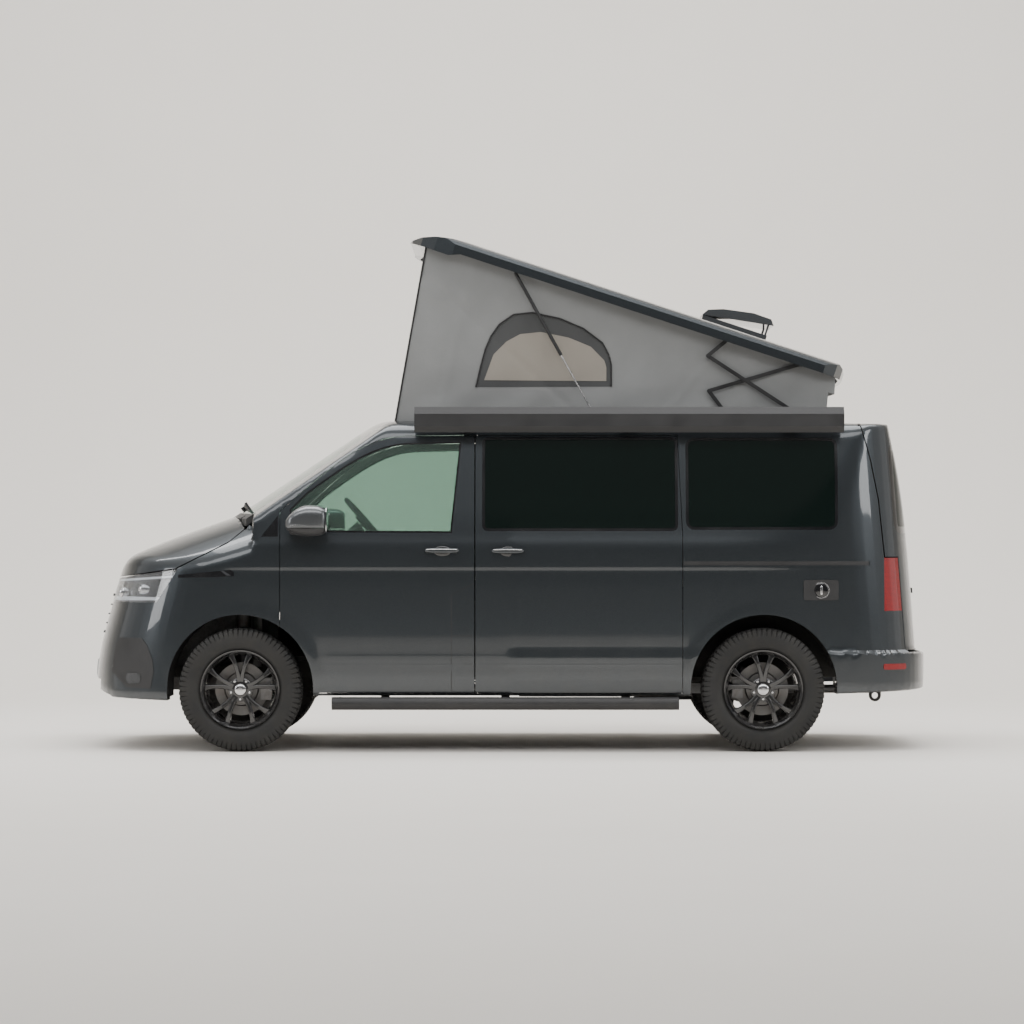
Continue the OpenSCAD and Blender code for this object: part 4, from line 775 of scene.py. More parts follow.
def finish_panel(obj, body, node, t, lining="cabin_panel", paint="body_paint"):
    clad(obj, paint)
    if lining:
        line_inside(obj, t, lining)
    smooth(obj)
    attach(obj, body)
    if node:
        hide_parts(node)
    return obj


HINGE_X, HINGE_Y, HINGE_ZS, HINGE_H = DOOR_FRONT - GAP - 45, HALF_W - 14, (above_belt(-430), above_belt(-130)), 44
GATE_AXIS = (X_RA - 560 - GAP - 50, below_roof(43))


def wing_line():
    return [[DOOR_FRONT, 0], [X_FRONT + 50, 0], [X_FRONT + 50, above_belt(-262)], bonnet_line[3], bonnet_line[2],
            bonnet_line[1], bonnet_line[0], [X_FA - 107, above_belt(62)], [X_FA - 129, above_belt(-25)],
            [DOOR_FRONT, above_belt(-25)]]


def bonnet_outline(gap=0.0):
    return [[x, z + gap] for x, z in bonnet_line] + [[X_FRONT + 50, above_belt(400)], [X_FA - 53, above_belt(400)]]


def bonnet_tool(gap=0.0):
    tool = prism(bonnet_outline(gap), -1200, 1200)
    return combine(tool, [drum(COWL_X - COWL_R, 0, COWL_R + gap, -100, 3000)], "DIFFERENCE")


def screen_tool():
    w0, w1 = HALF_W - 172, HALF_W - 250
    length = math.hypot(SCREEN_TOP[0] - SCREEN_LOW[0], SCREEN_TOP[1] - SCREEN_LOW[1])
    tool = prism([[60, -w0 - 6], [60, w0 + 6], [-length + 14, w1], [-length + 14, -w1]], -400, 200, "xy")
    tool.data.transform(Matrix.Translation((SCREEN_LOW[0] * MM, 0, SCREEN_LOW[1] * MM)) @ Matrix.Rotation(math.radians(SCREEN_DEG), 4, "Y"))
    return combine(tool, [drum(COWL_X - COWL_R, 0, COWL_R - SCUTTLE_W, -100, 3000)], "INTERSECT")


def roof_tool():
    return prism([[X_RA - 560 + GAP, CANT_Z], [X_FA - 850, CANT_Z], [X_FA - 600, below_roof(96)], [X_FA - 500, ROOF_H + 200],
                  [X_RA - 560 + GAP, ROOF_H + 200]], -1500, 1500)


def gate_outline(gap):
    return ([[X_REAR - 50, GATE_WIDE + gap], [gate_side_line[4][0] - gap, GATE_WIDE + gap]]
            + [[x - gap, z] for x, z in gate_side_line[::-1]] + [[X_REAR - 50, ROOF_H + 60]])


def side_walls():
    for side, sign in (("left", 1), ("right", -1)):
        door = panel("door_skin", WALL_T, prism(inset(front_door_line, GAP / 2), 500, 1200),
                     [prism(door_glass_line, 500, 1200), belly()] + arch_tools(x_only=X_FA)
                     + [block((HINGE_X - 16, HALF_W - WALL_T - 40, z - 10), (DOOR_FRONT + 20, HALF_W - 40, z + HINGE_H + 10))
                        for z in HINGE_ZS])
        if sign < 0:
            door = mirror_y(door, "door_skin")
        door.name = "door_skin_" + side
        finish_panel(door, "door_" + side, "front_door_" + side, WALL_T)
    slide = panel("sliding_door_skin", WALL_T, prism(inset(slide_line, GAP / 2), 500, 1200),
                  [prism(slide_glass_line, 500, 1200), belly()] + arch_tools(GAP / 2, X_RA - 3))
    finish_panel(slide, "van", "sliding_door", WALL_T)
    for side, sign in (("left", 1), ("right", -1)):
        cuts = [belly(), prism(front_door_line, 500, 1200), prism(quarter_glass_line, 500, 1200), roof_tool(),
                prism(gate_outline(0), -1500, 1500), block((X_REAR - 50, -GATE_HALF, TAIL_SHELF), (gate_side_line[4][0], GATE_HALF, GATE_WIDE + 1)),
                block((X_REAR - 50, GATE_HALF, TAIL_LAMP_LOW), (gate_side_line[4][0], 1200, GATE_WIDE)), screen_tool(),
                block((X_REAR - 50, 0, 0), (X_RA - 300, 3000, TAIL_SHELF)), prism(wing_line(), -1200, 1200), bonnet_tool(),
                block((-3000, -1500, 0), (3000, HALF_W - 350, above_belt(100))),
                block((X_RA - 400, -1500, above_belt(100)), (X_FA - 850, HALF_W - 262, 3000)),
                block((X_REAR - 50, -1500, above_belt(100)), (X_RA - 400, 520, 3000))] + arch_tools()
        cuts.append(prism(slide_line if sign > 0 else slide_glass_line, 500, 1200))
        ring = combine(drum(COWL_X - COWL_R, 0, COWL_R, -100, 3000), [drum(COWL_X - COWL_R, 0, COWL_R - SCUTTLE_W, -200, 3100)], "DIFFERENCE")
        cuts.append(combine(ring, [block((0, -HALF_W + 160, -150), (3000, HALF_W - 160, 3050))], "INTERSECT"))
        wall = panel("side_skin", WALL_T, block((X_REAR - 30, 330, 0), (X_FA - 40, 1200, CANT_Z)), cuts)
        if sign < 0:
            wall = mirror_y(wall, "side_skin")
        wall.name = "side_skin_" + side
        finish_panel(wall, "van", "body_side_" + side, WALL_T)


def nose_panels():
    lamp = prism([[X_FA + 487, LAMP_LOW - 8], [X_FRONT + 60, LAMP_LOW - 8], [X_FRONT + 60, above_belt(-100)],
                  [X_FA + 365, above_belt(-100)], [X_FA + 365, above_belt(-200)]], -1200, 1200)
    lamp = combine(lamp, [block((0, -HALF_W * 0.47, 0), (3000, HALF_W * 0.47, 3000))], "DIFFERENCE")
    hw, gw = HALF_W * 0.47, HALF_W * 0.42
    grille = prism([[-gw, 620], [gw, 620], [hw, LAMP_LOW - 8], [hw, above_belt(0)], [-hw, above_belt(0)], [-hw, LAMP_LOW - 8]],
                   X_FA + 500, X_FRONT + 60, "yz")
    bumper = prism(bumper_line + [[X_FRONT + 60, 100], [X_FA + 300, 100], [X_FA + 300, above_belt(-490)]], -1200, 1200)
    cowl = combine(drum(COWL_X - COWL_R, 0, COWL_R + GAP + 1, -100, 3000), [block((0, -HALF_W + 160, -150), (3000, HALF_W - 160, 3050))], "INTERSECT")
    wings = panel("wing_skins", PANEL_T, prism(wing_line(), -1200, 1200),
                  [block((-3000, -360, 0), (3000, 360, 3000)), bonnet_tool(), lamp, grille, bumper, cowl,
                   block((X_FA + 480, -HALF_W * 0.48, 0), (3000, HALF_W * 0.48, 3000))] + arch_tools(x_only=X_FA))
    finish_panel(wings, "van", "front_wings", PANEL_T, "underseal")
    skin = panel("bumper_skin", PANEL_T, bumper,
                 [grille, block((X_FA + 500, -HALF_W * 0.55, 345), (3000, HALF_W * 0.55, 400)),
                  block((-3000, -HALF_W + 240, 0), (X_FA + 560, HALF_W - 240, 500)),
                  block((-3000, -1500, above_belt(-490)), (X_FA + 358, 1500, 3000))] + arch_tools(x_only=X_FA))
    finish_panel(skin, "van", "front_bumper", PANEL_T, "underseal")
    bonnet = panel("bonnet_skin", PANEL_T, bonnet_tool(GAP))
    finish_panel(bonnet, "bonnet", "bonnet", PANEL_T, "underseal")
    face = panel("grille_face", PANEL_T, grille, [bonnet_tool()])
    finish_panel(face, "van", "grille", PANEL_T, None, "gloss_black")
    shell = panel("headlamp_shell", 46, lamp, [bonnet_tool()], outer=34)
    finish_panel(shell, "van", None, PANEL_T, None, "gloss_black")
    cover = panel("headlamp_cover", 4, lamp, [bonnet_tool()])
    finish_panel(cover, "van", "headlamps", PANEL_T, None, "lens")


def roof_and_tail():
    roof = panel("roof_skin", ROOF_T, roof_tool(),
                 [screen_tool(), block((X_RA - 60, -520, 1000), (X_FA - 1090, 520, 3000))])
    finish_panel(roof, "van", "roof_panel", ROOF_T)
    region = combine(prism(gate_outline(GAP), -1500, 1500),
                     [block((X_REAR - 50, -GATE_HALF + GAP, TAIL_SHELF + 5 + GAP), (gate_side_line[4][0] - GAP, GATE_HALF - GAP, GATE_WIDE + GAP + 1))], "UNION")
    glass = prism(rounded(-HALF_W + 250, above_belt(12), HALF_W - 250, below_roof(150), 60), X_REAR - 30, X_RA - 700, "yz")
    notches = [block((GATE_AXIS[0] - 20, s * 480 - 34, 0), (3000, s * 480 + 34, GATE_AXIS[1] + 10)) for s in (-1, 1)]
    gate = panel("tailgate_skin", WALL_T, region, [glass] + notches)
    finish_panel(gate, "tailgate", "tailgate", WALL_T)
    bumper = panel("rear_bumper_skin", WALL_T, block((X_REAR - 20, -1200, 0), (X_RA - 300, 1200, TAIL_SHELF)),
                   [block((X_REAR + 260, -HALF_W + 230, 0), (X_RA - 200, HALF_W - 230, TAIL_SHELF + 9))] + arch_tools(x_only=X_RA - 3))
    finish_panel(bumper, "van", "rear_bumper", WALL_T, "underseal")
    for sign in (1, -1):
        lens = panel("tail_lens", WALL_T - 20, block((X_REAR - 50, GATE_HALF, TAIL_LAMP_LOW), (gate_side_line[4][0], 1200, GATE_WIDE)))
        if sign < 0:
            lens = mirror_y(lens, "tail_lens")
        lens.name = "tail_lens_" + ("left" if sign > 0 else "right")
        clad(lens, "red_lens")
        smooth(lens)
        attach(lens, "van")
        if sign > 0:
            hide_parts("tail_lamps")


def window(name, body, line, y_sign, mat, node=None, frit=18.0, plane="xz", low=500.0, high=1200.0):
    """Glass pane set in a black printed border."""
    border = panel(name + "_border", GLASS_T + 3, prism(line, low, high, plane), [prism(inset(line, frit), low - 5, high + 5, plane)])
    pane = panel(name + "_pane", GLASS_T, prism(inset(line, frit - 2), low, high, plane))
    for obj, m in ((border, "gloss_black"), (pane, mat)):
        if y_sign < 0:
            mirror_y(obj, obj.name)
        clad(obj, m)
        smooth(obj)
        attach(obj, body)
        if node and m == mat:
            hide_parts(node)
    return border


def all_windows():
    for side, sign in (("left", 1), ("right", -1)):
        window("door_window_" + side, "door_" + side, door_glass_line, sign, "glass_front", "door_glass_" + side, 11)
        window("slide_window_" + side, "van", slide_glass_line, sign, "glass_rear", "side_windows" if sign > 0 else None)
        window("quarter_window_" + side, "van", quarter_glass_line, sign, "glass_rear")
    window("tailgate_window", "tailgate", rounded(-HALF_W + 250, above_belt(12), HALF_W - 250, below_roof(150), 60), 1,
           "glass_rear", "tailgate_glass", 40, "yz", X_REAR - 30, X_RA - 700)
    tool = screen_tool()
    pane = panel("windscreen_pane", GLASS_T, tool)
    clad(smooth(pane), "glass_front")
    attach(pane, "van")
    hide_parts("windscreen")


side_walls()
nose_panels()
roof_and_tail()
all_windows()


# ---------------------------------------------------------------- shapes for fittings
def rise(low, high, value):
    return step((value - low) / (high - low))


def grid_faces(rows, cols, wrap=False):
    out = []
    for i in range(rows - 1):
        for j in range(cols if wrap else cols - 1):
            k = (j + 1) % cols
            out.append([i * cols + j, i * cols + k, (i + 1) * cols + k, (i + 1) * cols + j])
    return out


def revolve(name, profile, x, y, z, segments=96):
    """Body turned about a line along Y through x, z. Profile is (radius, distance along Y), closed."""
    a = np.linspace(0, 2 * math.pi, segments, endpoint=False)
    verts = []
    for r, d in profile:
        verts += np.stack([x + r * np.cos(a), np.full(segments, y + d), z + r * np.sin(a)], 1).tolist()
    n = len(profile)
    faces = grid_faces(n, segments, True)
    faces += [[(n - 1) * segments + j, (n - 1) * segments + (j + 1) % segments, (j + 1) % segments, j] for j in range(segments)]
    return mesh_object(name, verts, faces)


def tube(name, path, r, sides=12):
    """Round bar along a path of points."""
    p = np.array(path, float)
    verts, up = [], np.array([0.0, 0.0, 1.0])
    for i in range(len(p)):
        t = p[min(i + 1, len(p) - 1)] - p[max(i - 1, 0)]
        t /= np.linalg.norm(t)
        side = np.cross(t, up if abs(t[2]) < 0.95 else np.array([1.0, 0, 0]))
        side /= np.linalg.norm(side)
        top = np.cross(side, t)
        for k in range(sides):
            a = 2 * math.pi * k / sides
            verts.append((p[i] + r * (math.cos(a) * side + math.sin(a) * top)).tolist())
    faces = grid_faces(len(p), sides, True)
    faces += [list(range(sides))[::-1], [(len(p) - 1) * sides + k for k in range(sides)]]
    return mesh_object(name, verts, faces)


def rounded_form(name, centre, radii, power=4.0, n=40, taper=0.0):
    """Rounded block: a ball pushed out towards a box as power grows."""
    u = np.linspace(-math.pi / 2, math.pi / 2, n // 2 + 1)[1:-1]
    v = np.linspace(-math.pi, math.pi, n, endpoint=False)

    def push(c):
        return np.sign(c) * np.abs(c) ** (2.0 / power)

    verts = []
    for a in u:
        x, y = push(np.cos(a)) * push(np.cos(v)), push(np.cos(a)) * push(np.sin(v))
        z = np.full(n, push(np.sin(a)))
        k = 1 - taper * x
        verts += np.stack([centre[0] + radii[0] * x, centre[1] + radii[1] * y * k, centre[2] + radii[2] * z * k], 1).tolist()
    faces = grid_faces(len(u), n, True)
    verts += [[centre[0], centre[1], centre[2] - radii[2]], [centre[0], centre[1], centre[2] + radii[2]]]
    low, high, last = len(verts) - 2, len(verts) - 1, (len(u) - 1) * n
    faces += [[low, (j + 1) % n, j] for j in range(n)] + [[high, last + j, last + (j + 1) % n] for j in range(n)]
    return mesh_object(name, verts, faces)


def outward(obj):
    bm = bmesh.new()
    bm.from_mesh(obj.data)
    bmesh.ops.recalc_face_normals(bm, faces=bm.faces)
    bm.to_mesh(obj.data)
    bm.free()
    return obj


def bevelled(obj, width, segments=2):
    mod = obj.modifiers.new("edge", "BEVEL")
    mod.width, mod.segments, mod.limit_method, mod.angle_limit = width * MM, segments, "ANGLE", math.radians(35)
    mod.harden_normals = False
    return obj


def fit(obj, body, mat, node=None, degrees=35):
    outward(obj)
    clad(obj, mat)
    smooth(obj, degrees)
    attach(obj, body)
    if node:
        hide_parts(node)
    return obj


def side_y(x, z, proud=0.0):
    """Distance from the centre line at which the body's side stands, at a place along and up."""
    low, high = 300.0, 1100.0
    for _ in range(24):
        mid = (low + high) / 2
        if float(envelope(np.array([x]), np.array([mid]), np.array([z]))[0]) < 0:
            low = mid
        else:
            high = mid
    return low + proud


def flush(name, outline, body, mat, proud=0.6, thick=2.0, plane="xz", low=300.0, high=1200.0, sign=1):
    """Thin piece laid on the body's skin inside an outline seen from the side."""
    obj = panel(name, thick, prism(outline, low, high, plane), outer=-proud)
    if sign < 0:
        mirror_y(obj, name)
    return fit(obj, body, mat)


def band(points, width):
    """Closed outline of a line of given width through points."""
    p = [np.array(q, float) for q in points]
    left, right = [], []
    for i in range(len(p)):
        t = p[min(i + 1, len(p) - 1)] - p[max(i - 1, 0)]
        n = np.array([-t[1], t[0]]) / np.linalg.norm(t) * width / 2
        left.append((p[i] + n).tolist())
        right.append((p[i] - n).tolist())
    return right + left[::-1]


def box_line(x0, z0, x1, z1):
    return [[x0, z0], [x1, z0], [x1, z1], [x0, z1]]


# ---------------------------------------------------------------- wheels
TREAD_DEPTH, TREAD_PITCH = 11.0, 5.0


def tread_height(turn, y):
    """1 on a block and 0 in a groove, at an angle around the tyre and a place across it."""
    w = y / (TYRE_W / 2)
    shift = np.where(w > 0, 0.5, 0.0)
    zig = 0.18 * np.sin(turn / TREAD_PITCH * 4 * math.pi)
    ring = rise(0.06, 0.1, np.abs(np.abs(w) - 0.44 + 0.5 * zig * 0.2))
    centre = rise(0.03, 0.06, np.abs(w + 0.22 * zig))
    row = np.where(np.abs(w) > 0.44, 0.5, 0.0)
    cross = (turn / TREAD_PITCH + shift + row + 0.35 * np.abs(w)) % 1.0
    block = rise(0.09, 0.14, np.minimum(cross, 1 - cross))
    sipe = (turn / TREAD_PITCH + shift + row + 0.5 + 0.6 * w) % 1.0
    return ring * centre * block * (1 - 0.35 * (1 - rise(0.012, 0.03, np.minimum(sipe, 1 - sipe))))


def tyres():
    n = 432
    turn = np.linspace(0, 360, n, endpoint=False)
    half = []
    bead, w = RIM_R - 6, TYRE_W / 2
    side = bezier([RIM_R + 3, w - 20], [RIM_R + 26, w + 4], [TYRE_R - 62, w + 1], [TYRE_R - 30, w - 4], 10)
    shoulder = bezier([TYRE_R - 30, w - 4], [TYRE_R - 16, w - 8], [TYRE_R - 5, w - 14], [TYRE_R - 3, w - 26], 7)[1:]
    crown = [[TYRE_R - 3 + 3 * (1 - (y / (w - 26)) ** 2), y] for y in np.linspace(w - 26, -(w - 26), 36)[1:-1]]
    half = [[bead, w - 26]] + side + shoulder
    profile = np.array(half + crown + [[r, -y] for r, y in half[::-1]])
    verts = np.zeros((len(profile), n, 3))
    for i, (r, y) in enumerate(profile):
        across = np.clip(y, -w, w)
        lug = tread_height(turn, np.full(n, across))
        if r > TYRE_R - 12:
            radius, at = r - TREAD_DEPTH * (1 - lug), np.full(n, y)
        elif r > TYRE_R - 46:
            fade = float(rise(TYRE_R - 46, TYRE_R - 34, r))
            radius, at = np.full(n, r), y - math.copysign(1, y) * 7 * fade * (1 - lug)
        else:
            rib = 1.6 * math.exp(-((r - (TYRE_R - 52)) / 2.5) ** 2) + 1.4 * math.exp(-((r - (RIM_R + 16)) / 3) ** 2)
            radius, at = np.full(n, r), y + math.copysign(1, y) * (rib - 1.0)
        a = np.radians(turn)
        verts[i, :, 0], verts[i, :, 1], verts[i, :, 2] = radius * np.cos(a), at, radius * np.sin(a)
    verts = verts.reshape(-1, 3)
    faces = grid_faces(len(profile), n, True)
    faces += [[(len(profile) - 1) * n + j, (len(profile) - 1) * n + (j + 1) % n, (j + 1) % n, j] for j in range(n)]
    for end, x in (("front", X_FA), ("rear", X_RA)):
        for side_name, sign in (("left", 1), ("right", -1)):
            co = verts * [1, sign, 1] + [x, sign * HALF_TRACK, AXLE_H]
            obj = mesh_object(f"tyre_tread_{end}_{side_name}", co, faces)
            fit(obj, f"wheel_{end}_{side_name}", "tyre_rubber", f"tyre_{end}_{side_name}", 28)


def spoke(a, lean, y0, y1):
    """One of a pair of spokes, from the hub out to the rim, curved in section."""
    out = []
    for t in np.linspace(0, 1, 9):
        r = 44 + (RIM_R - 24 - 44) * t
        turn = math.radians(a + lean * (4.5 + 10.5 * t) + lean * 4 * math.exp(-((t - 0.0) / 0.2) ** 2))
        half = 14.5 - 2.5 * math.sin(math.pi * t) + 6 * max(0, t - 0.8) / 0.2
        face = y1 - 16 * (1 - t) ** 2 - 7 * t**3
        c, s = math.cos(turn), math.sin(turn)
        for dx, dy in ((-half, y0 + 8), (-half, face - 6), (-half * 0.7, face), (half * 0.7, face), (half, face - 6), (half, y0 + 8)):
            out.append([r * c - dx * s, dy, r * s + dx * c])
    return out


def rims():
    w = TYRE_W / 2
    for end, x in (("front", X_FA), ("rear", X_RA)):
        for side_name, sign in (("left", 1), ("right", -1)):
            body = f"wheel_{end}_{side_name}"

            def place(obj):
                co = np.empty(len(obj.data.vertices) * 3)
                obj.data.vertices.foreach_get("co", co)
                co = co.reshape(-1, 3) * [1, sign, 1] + np.array([x, sign * HALF_TRACK, AXLE_H]) * MM
                obj.data.vertices.foreach_set("co", co.ravel())
                obj.name = f"{obj.name.split('.')[0]}_{end}_{side_name}"
                return obj

            bead = RIM_R - 10
            barrel = revolve("rim_barrel", [(bead - 18, -w + 18), (RIM_R, -w + 10), (RIM_R, -w + 14), (bead, -w + 22), (bead - 22, -w + 70),
                                            (bead - 4, w - 40), (bead, w - 22), (RIM_R, w - 15), (RIM_R + 3, w - 12), (RIM_R, w - 8),
                                            (RIM_R - 7, w - 9), (bead - 10, w - 22), (bead - 16, w - 48), (bead - 30, -w + 72), (bead - 22, -w + 26)], 0, 0, 0, 120)
            fit(place(barrel), body, "wheel_paint", f"rim_{end}_{side_name}")
            verts, faces = [], []
            for a in range(90, 450, 72):
                for lean in (-1, 1):
                    k = len(verts)
                    verts += spoke(a, lean, w - 78, w - 30)
                    faces += [[k + f for f in face] for face in grid_faces(9, 6, True)]
                    faces += [[k + j for j in range(6)][::-1], [k + 48 + j for j in range(6)]]
            fit(bevelled(place(mesh_object("rim_spokes", verts, faces)), 2), body, "wheel_paint")
            hub = revolve("rim_hub", [(1, w - 84), (66, w - 84), (70, w - 74), (70, w - 52), (62, w - 47), (36, w - 46), (34, w - 44), (1, w - 44)], 0, 0, 0, 64)
            fit(place(hub), body, "wheel_paint")
            cap = revolve("rim_cap", [(1, w - 46), (31, w - 46), (31, w - 40), (26, w - 36.5), (12, w - 35), (1, w - 35)], 0, 0, 0, 48)
            fit(place(cap), body, "bright_steel")
            verts, faces = [], []
            for a in range(0, 360, 72):
                cx, cz = 56 * math.cos(math.radians(a + 54)), 56 * math.sin(math.radians(a + 54))
                k = len(verts)
                for r, d in ((9, w - 50), (9, w - 41), (6.5, w - 38)):
                    verts += [[cx + r * math.cos(math.radians(60 * j)), d, cz + r * math.sin(math.radians(60 * j))] for j in range(6)]
                faces += [[k + f for f in face] for face in grid_faces(3, 6, True)] + [[k + 12 + j for j in range(6)], [k + j for j in range(6)][::-1]]
            fit(place(mesh_object("wheel_bolts", verts, faces)), body, "bright_steel")
            disc_part = revolve("brake_disc", [(60, -40), (152, -40), (152, -32), (147, -32), (147, -26), (152, -26), (152, -18), (100, -18), (92, -6), (60, -6)], 0, 0, 0, 96)
            fit(place(disc_part), body, "disc_steel")
            stub = revolve("hub_stub", [(1, -120), (20, -120), (20, -40), (62, -40), (62, 36), (1, 36)], 0, 0, 0, 48)
            fit(place(stub), body, "cast_metal")


# ---------------------------------------------------------------- raised roof
CANVAS_Y, CANVAS_LOW = 655.0, 1902.0
CANVAS_SIDE = [[664.9, 1902.2], [486.8, 2911.9], [475.2, 2947.1], [436.3, 2947.2], [353.5, 2937.4], [-1894.8, 2210.4], [-1884.0, 2058.5],
               [-1848.9, 2070.1], [-1831.9, 1902.0]]
WINDOW_ARCH = [[-588, 2103], [-588, 2228], [-575, 2285], [-537, 2357], [-426, 2440], [-290, 2497], [-133, 2531], [-20, 2520], [60, 2465],
               [110, 2395], [142, 2320], [172, 2210], [197, 2100]]
MESH_ARCH = [[-560, 2135], [-560, 2215], [-548, 2255], [-470, 2335], [-340, 2388], [-180, 2420], [-60, 2408], [20, 2365], [95, 2290], [150, 2140]]


def folds(x, z):
    """Folds of slack cloth: long shallow ones from the corners, short ones at the lower edge, sag between its edges."""
    up = np.clip((z - CANVAS_LOW) / 900, 0, 1)
    sag = -9 * np.sin(math.pi * np.clip((x + 1850) / 2500, 0, 1)) * np.sin(math.pi * np.clip(up * 1.15, 0, 1))
    a = 3.2 * np.sin((x * 0.55 + z * 0.95) / 47 + 1.6 * np.sin(x / 310)) * np.exp(-((up - 0.12) / 0.2) ** 2)
    b = 2.6 * np.sin((x * 0.25 - z) / 61 + np.sin(z / 120)) * (0.35 + 0.65 * np.exp(-((x - 420) / 260) ** 2))
    c = 1.6 * np.sin((x * 0.9 + z * 0.35) / 29 + 2 * np.sin(z / 210)) * rise(-1500, -700, -np.abs(x + 900))
    d = 4.0 * np.exp(-((x + 950 + (z - 2000) * 0.8) / 34) ** 2) + 3.4 * np.exp(-((x - 330 + (z - 2300) * 0.24) / 26) ** 2)
    d = d - 3.8 * np.exp(-((x + 330 - (z - 2000) * 1.1) / 30) ** 2)
    return sag + a + b + c + d


def inside_of(points, x, z):
    p = np.array(points, float)
    inside = np.zeros(x.shape, bool)
    q = np.roll(p, -1, axis=0)
    for (x0, z0), (x1, z1) in zip(p, q):
        hit = ((z0 > z) != (z1 > z)) & (x < (x1 - x0) * (z - z0) / (z1 - z0 + 1e-9) + x0)
        inside ^= hit
    return inside


def cloth_side(name, outline, off, sign, pitch=16.0):
    """Sheet cut to an outline in the side's plane, with the same folds as its neighbours."""
    bm = bmesh.new()
    edge = []
    p = outline
    for i in range(len(p)):
        a, b = np.array(p[i], float), np.array(p[(i + 1) % len(p)], float)
        k = max(1, int(np.linalg.norm(b - a) / pitch))
        edge += [(a + (b - a) * j / k).tolist() for j in range(k)]
    from mathutils import geometry
    xs = np.arange(min(q[0] for q in p) + pitch / 2, max(q[0] for q in p), pitch)
    zs = np.arange(min(q[1] for q in p) + pitch / 2, max(q[1] for q in p), pitch)
    gx, gz = (g.ravel() for g in np.meshgrid(xs, zs))
    near = inside_of(outline, gx, gz)
    gx, gz = gx[near], gz[near]
    e = np.array(edge)
    far_enough = np.array([np.min(np.hypot(e[:, 0] - a, e[:, 1] - b)) > pitch * 0.45 for a, b in zip(gx, gz)])
    pts = edge + np.stack([gx, gz], 1)[far_enough].tolist()
    ring = [(i, (i + 1) % len(edge)) for i in range(len(edge))]
    v, _, f, *_ = geometry.delaunay_2d_cdt([Vector(q) for q in pts], ring, [], 1, 0.01)
    co = np.array([[q.x, q.y] for q in v])
    y = sign * (CANVAS_Y + folds(co[:, 0], co[:, 1]) + off)
    bm.free()
    obj = mesh_object(name, np.stack([co[:, 0], y, co[:, 1]], 1), [list(t) for t in f])
    return obj


def soft(obj, mat, flat, node=None):
    clad(obj, mat)
    smooth(obj, 60)
    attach(obj, "van")
    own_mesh(obj)
    if node:
        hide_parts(node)


def flat_size(outline):
    xs, zs = [p[0] for p in outline], [p[1] for p in outline]
    return (max(xs) - min(xs)) * MM, (max(zs) - min(zs)) * MM


def canvas():
    for side_name, sign in (("left", 1), ("right", -1)):
        wall = cloth_side("canvas_" + side_name, CANVAS_SIDE, 0, sign)
        soft(wall, "canvas_cloth", flat_size(CANVAS_SIDE), node="canvas" if sign > 0 else None)
        window_cloth = cloth_side("tent_window_band_" + side_name, WINDOW_ARCH, 1.5, sign)
        soft(window_cloth, "band_cloth", flat_size(WINDOW_ARCH))
        screen = cloth_side("tent_window_mesh_" + side_name, MESH_ARCH, 3.0, sign)
        soft(screen, "mesh_cloth", flat_size(MESH_ARCH))
        path = WINDOW_ARCH
        line = []
        for i in range(len(path) - 1):
            a, b = np.array(path[i], float), np.array(path[i + 1], float)
            line += [(a + (b - a) * t / 6).tolist() for t in range(6)]
        line.append(list(path[-1]))
        y = [sign * (CANVAS_Y + float(folds(np.array([q[0]]), np.array([q[1]]))[0]) + 3) for q in line]
        tape = tube("tent_window_binding_" + side_name, [[q[0], w, q[1]] for q, w in zip(line, y)], 5.5, 8)
        clad(outward(tape), "binding")
        smooth(tape, 60)
        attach(tape, "van")
        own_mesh(tape)
        corner = [[664.9, 1902.2], [486.8, 2911.9]]
        seam = tube("tent_corner_seam_" + side_name, [[corner[0][0] + (corner[1][0] - corner[0][0]) * t, sign * (CANVAS_Y + 1), corner[0][1] + (corner[1][1] - corner[0][1]) * t]
                                                       for t in np.linspace(0, 1, 24)], 6, 8)
        clad(outward(seam), "binding")
        smooth(seam, 60)
        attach(seam, "van")
        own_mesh(seam)
    for name, line in (("canvas_front", [[664.9, 1902.2], [486.8, 2911.9], [475.2, 2945]]),
                       ("canvas_rear", [[-1831.9, 1902.0], [-1848.9, 2070.1], [-1884.0, 2058.5], [-1894.8, 2210.4]])):
        rows = []
        for i in range(len(line) - 1):
            a, b = np.array(line[i], float), np.array(line[i + 1], float)
            k = max(1, int(np.linalg.norm(b - a) / 18))
            rows += [(a + (b - a) * j / k) for j in range(k)]
        rows.append(np.array(line[-1], float))
        ys = np.linspace(-CANVAS_Y, CANVAS_Y, 72)
        verts = []
        for i, q in enumerate(rows):
            up = i / (len(rows) - 1)
            edge = np.sin(math.pi * (ys + CANVAS_Y) / (2 * CANVAS_Y)) * math.sin(math.pi * up)
            bulge = -14 * edge + 3 * edge * np.sin(ys / 47 + 5 * up)
            away = 1 if name == "canvas_front" else -1
            verts += [[q[0] + away * d, y, q[1]] for y, d in zip(ys, bulge)]
        obj = mesh_object(name, verts, grid_faces(len(rows), len(ys)))
        length = sum(float(np.linalg.norm(rows[i + 1] - rows[i])) for i in range(len(rows) - 1))
        soft(obj, "canvas_cloth", (2 * CANVAS_Y * MM * 1.002, length * MM * 1.004))


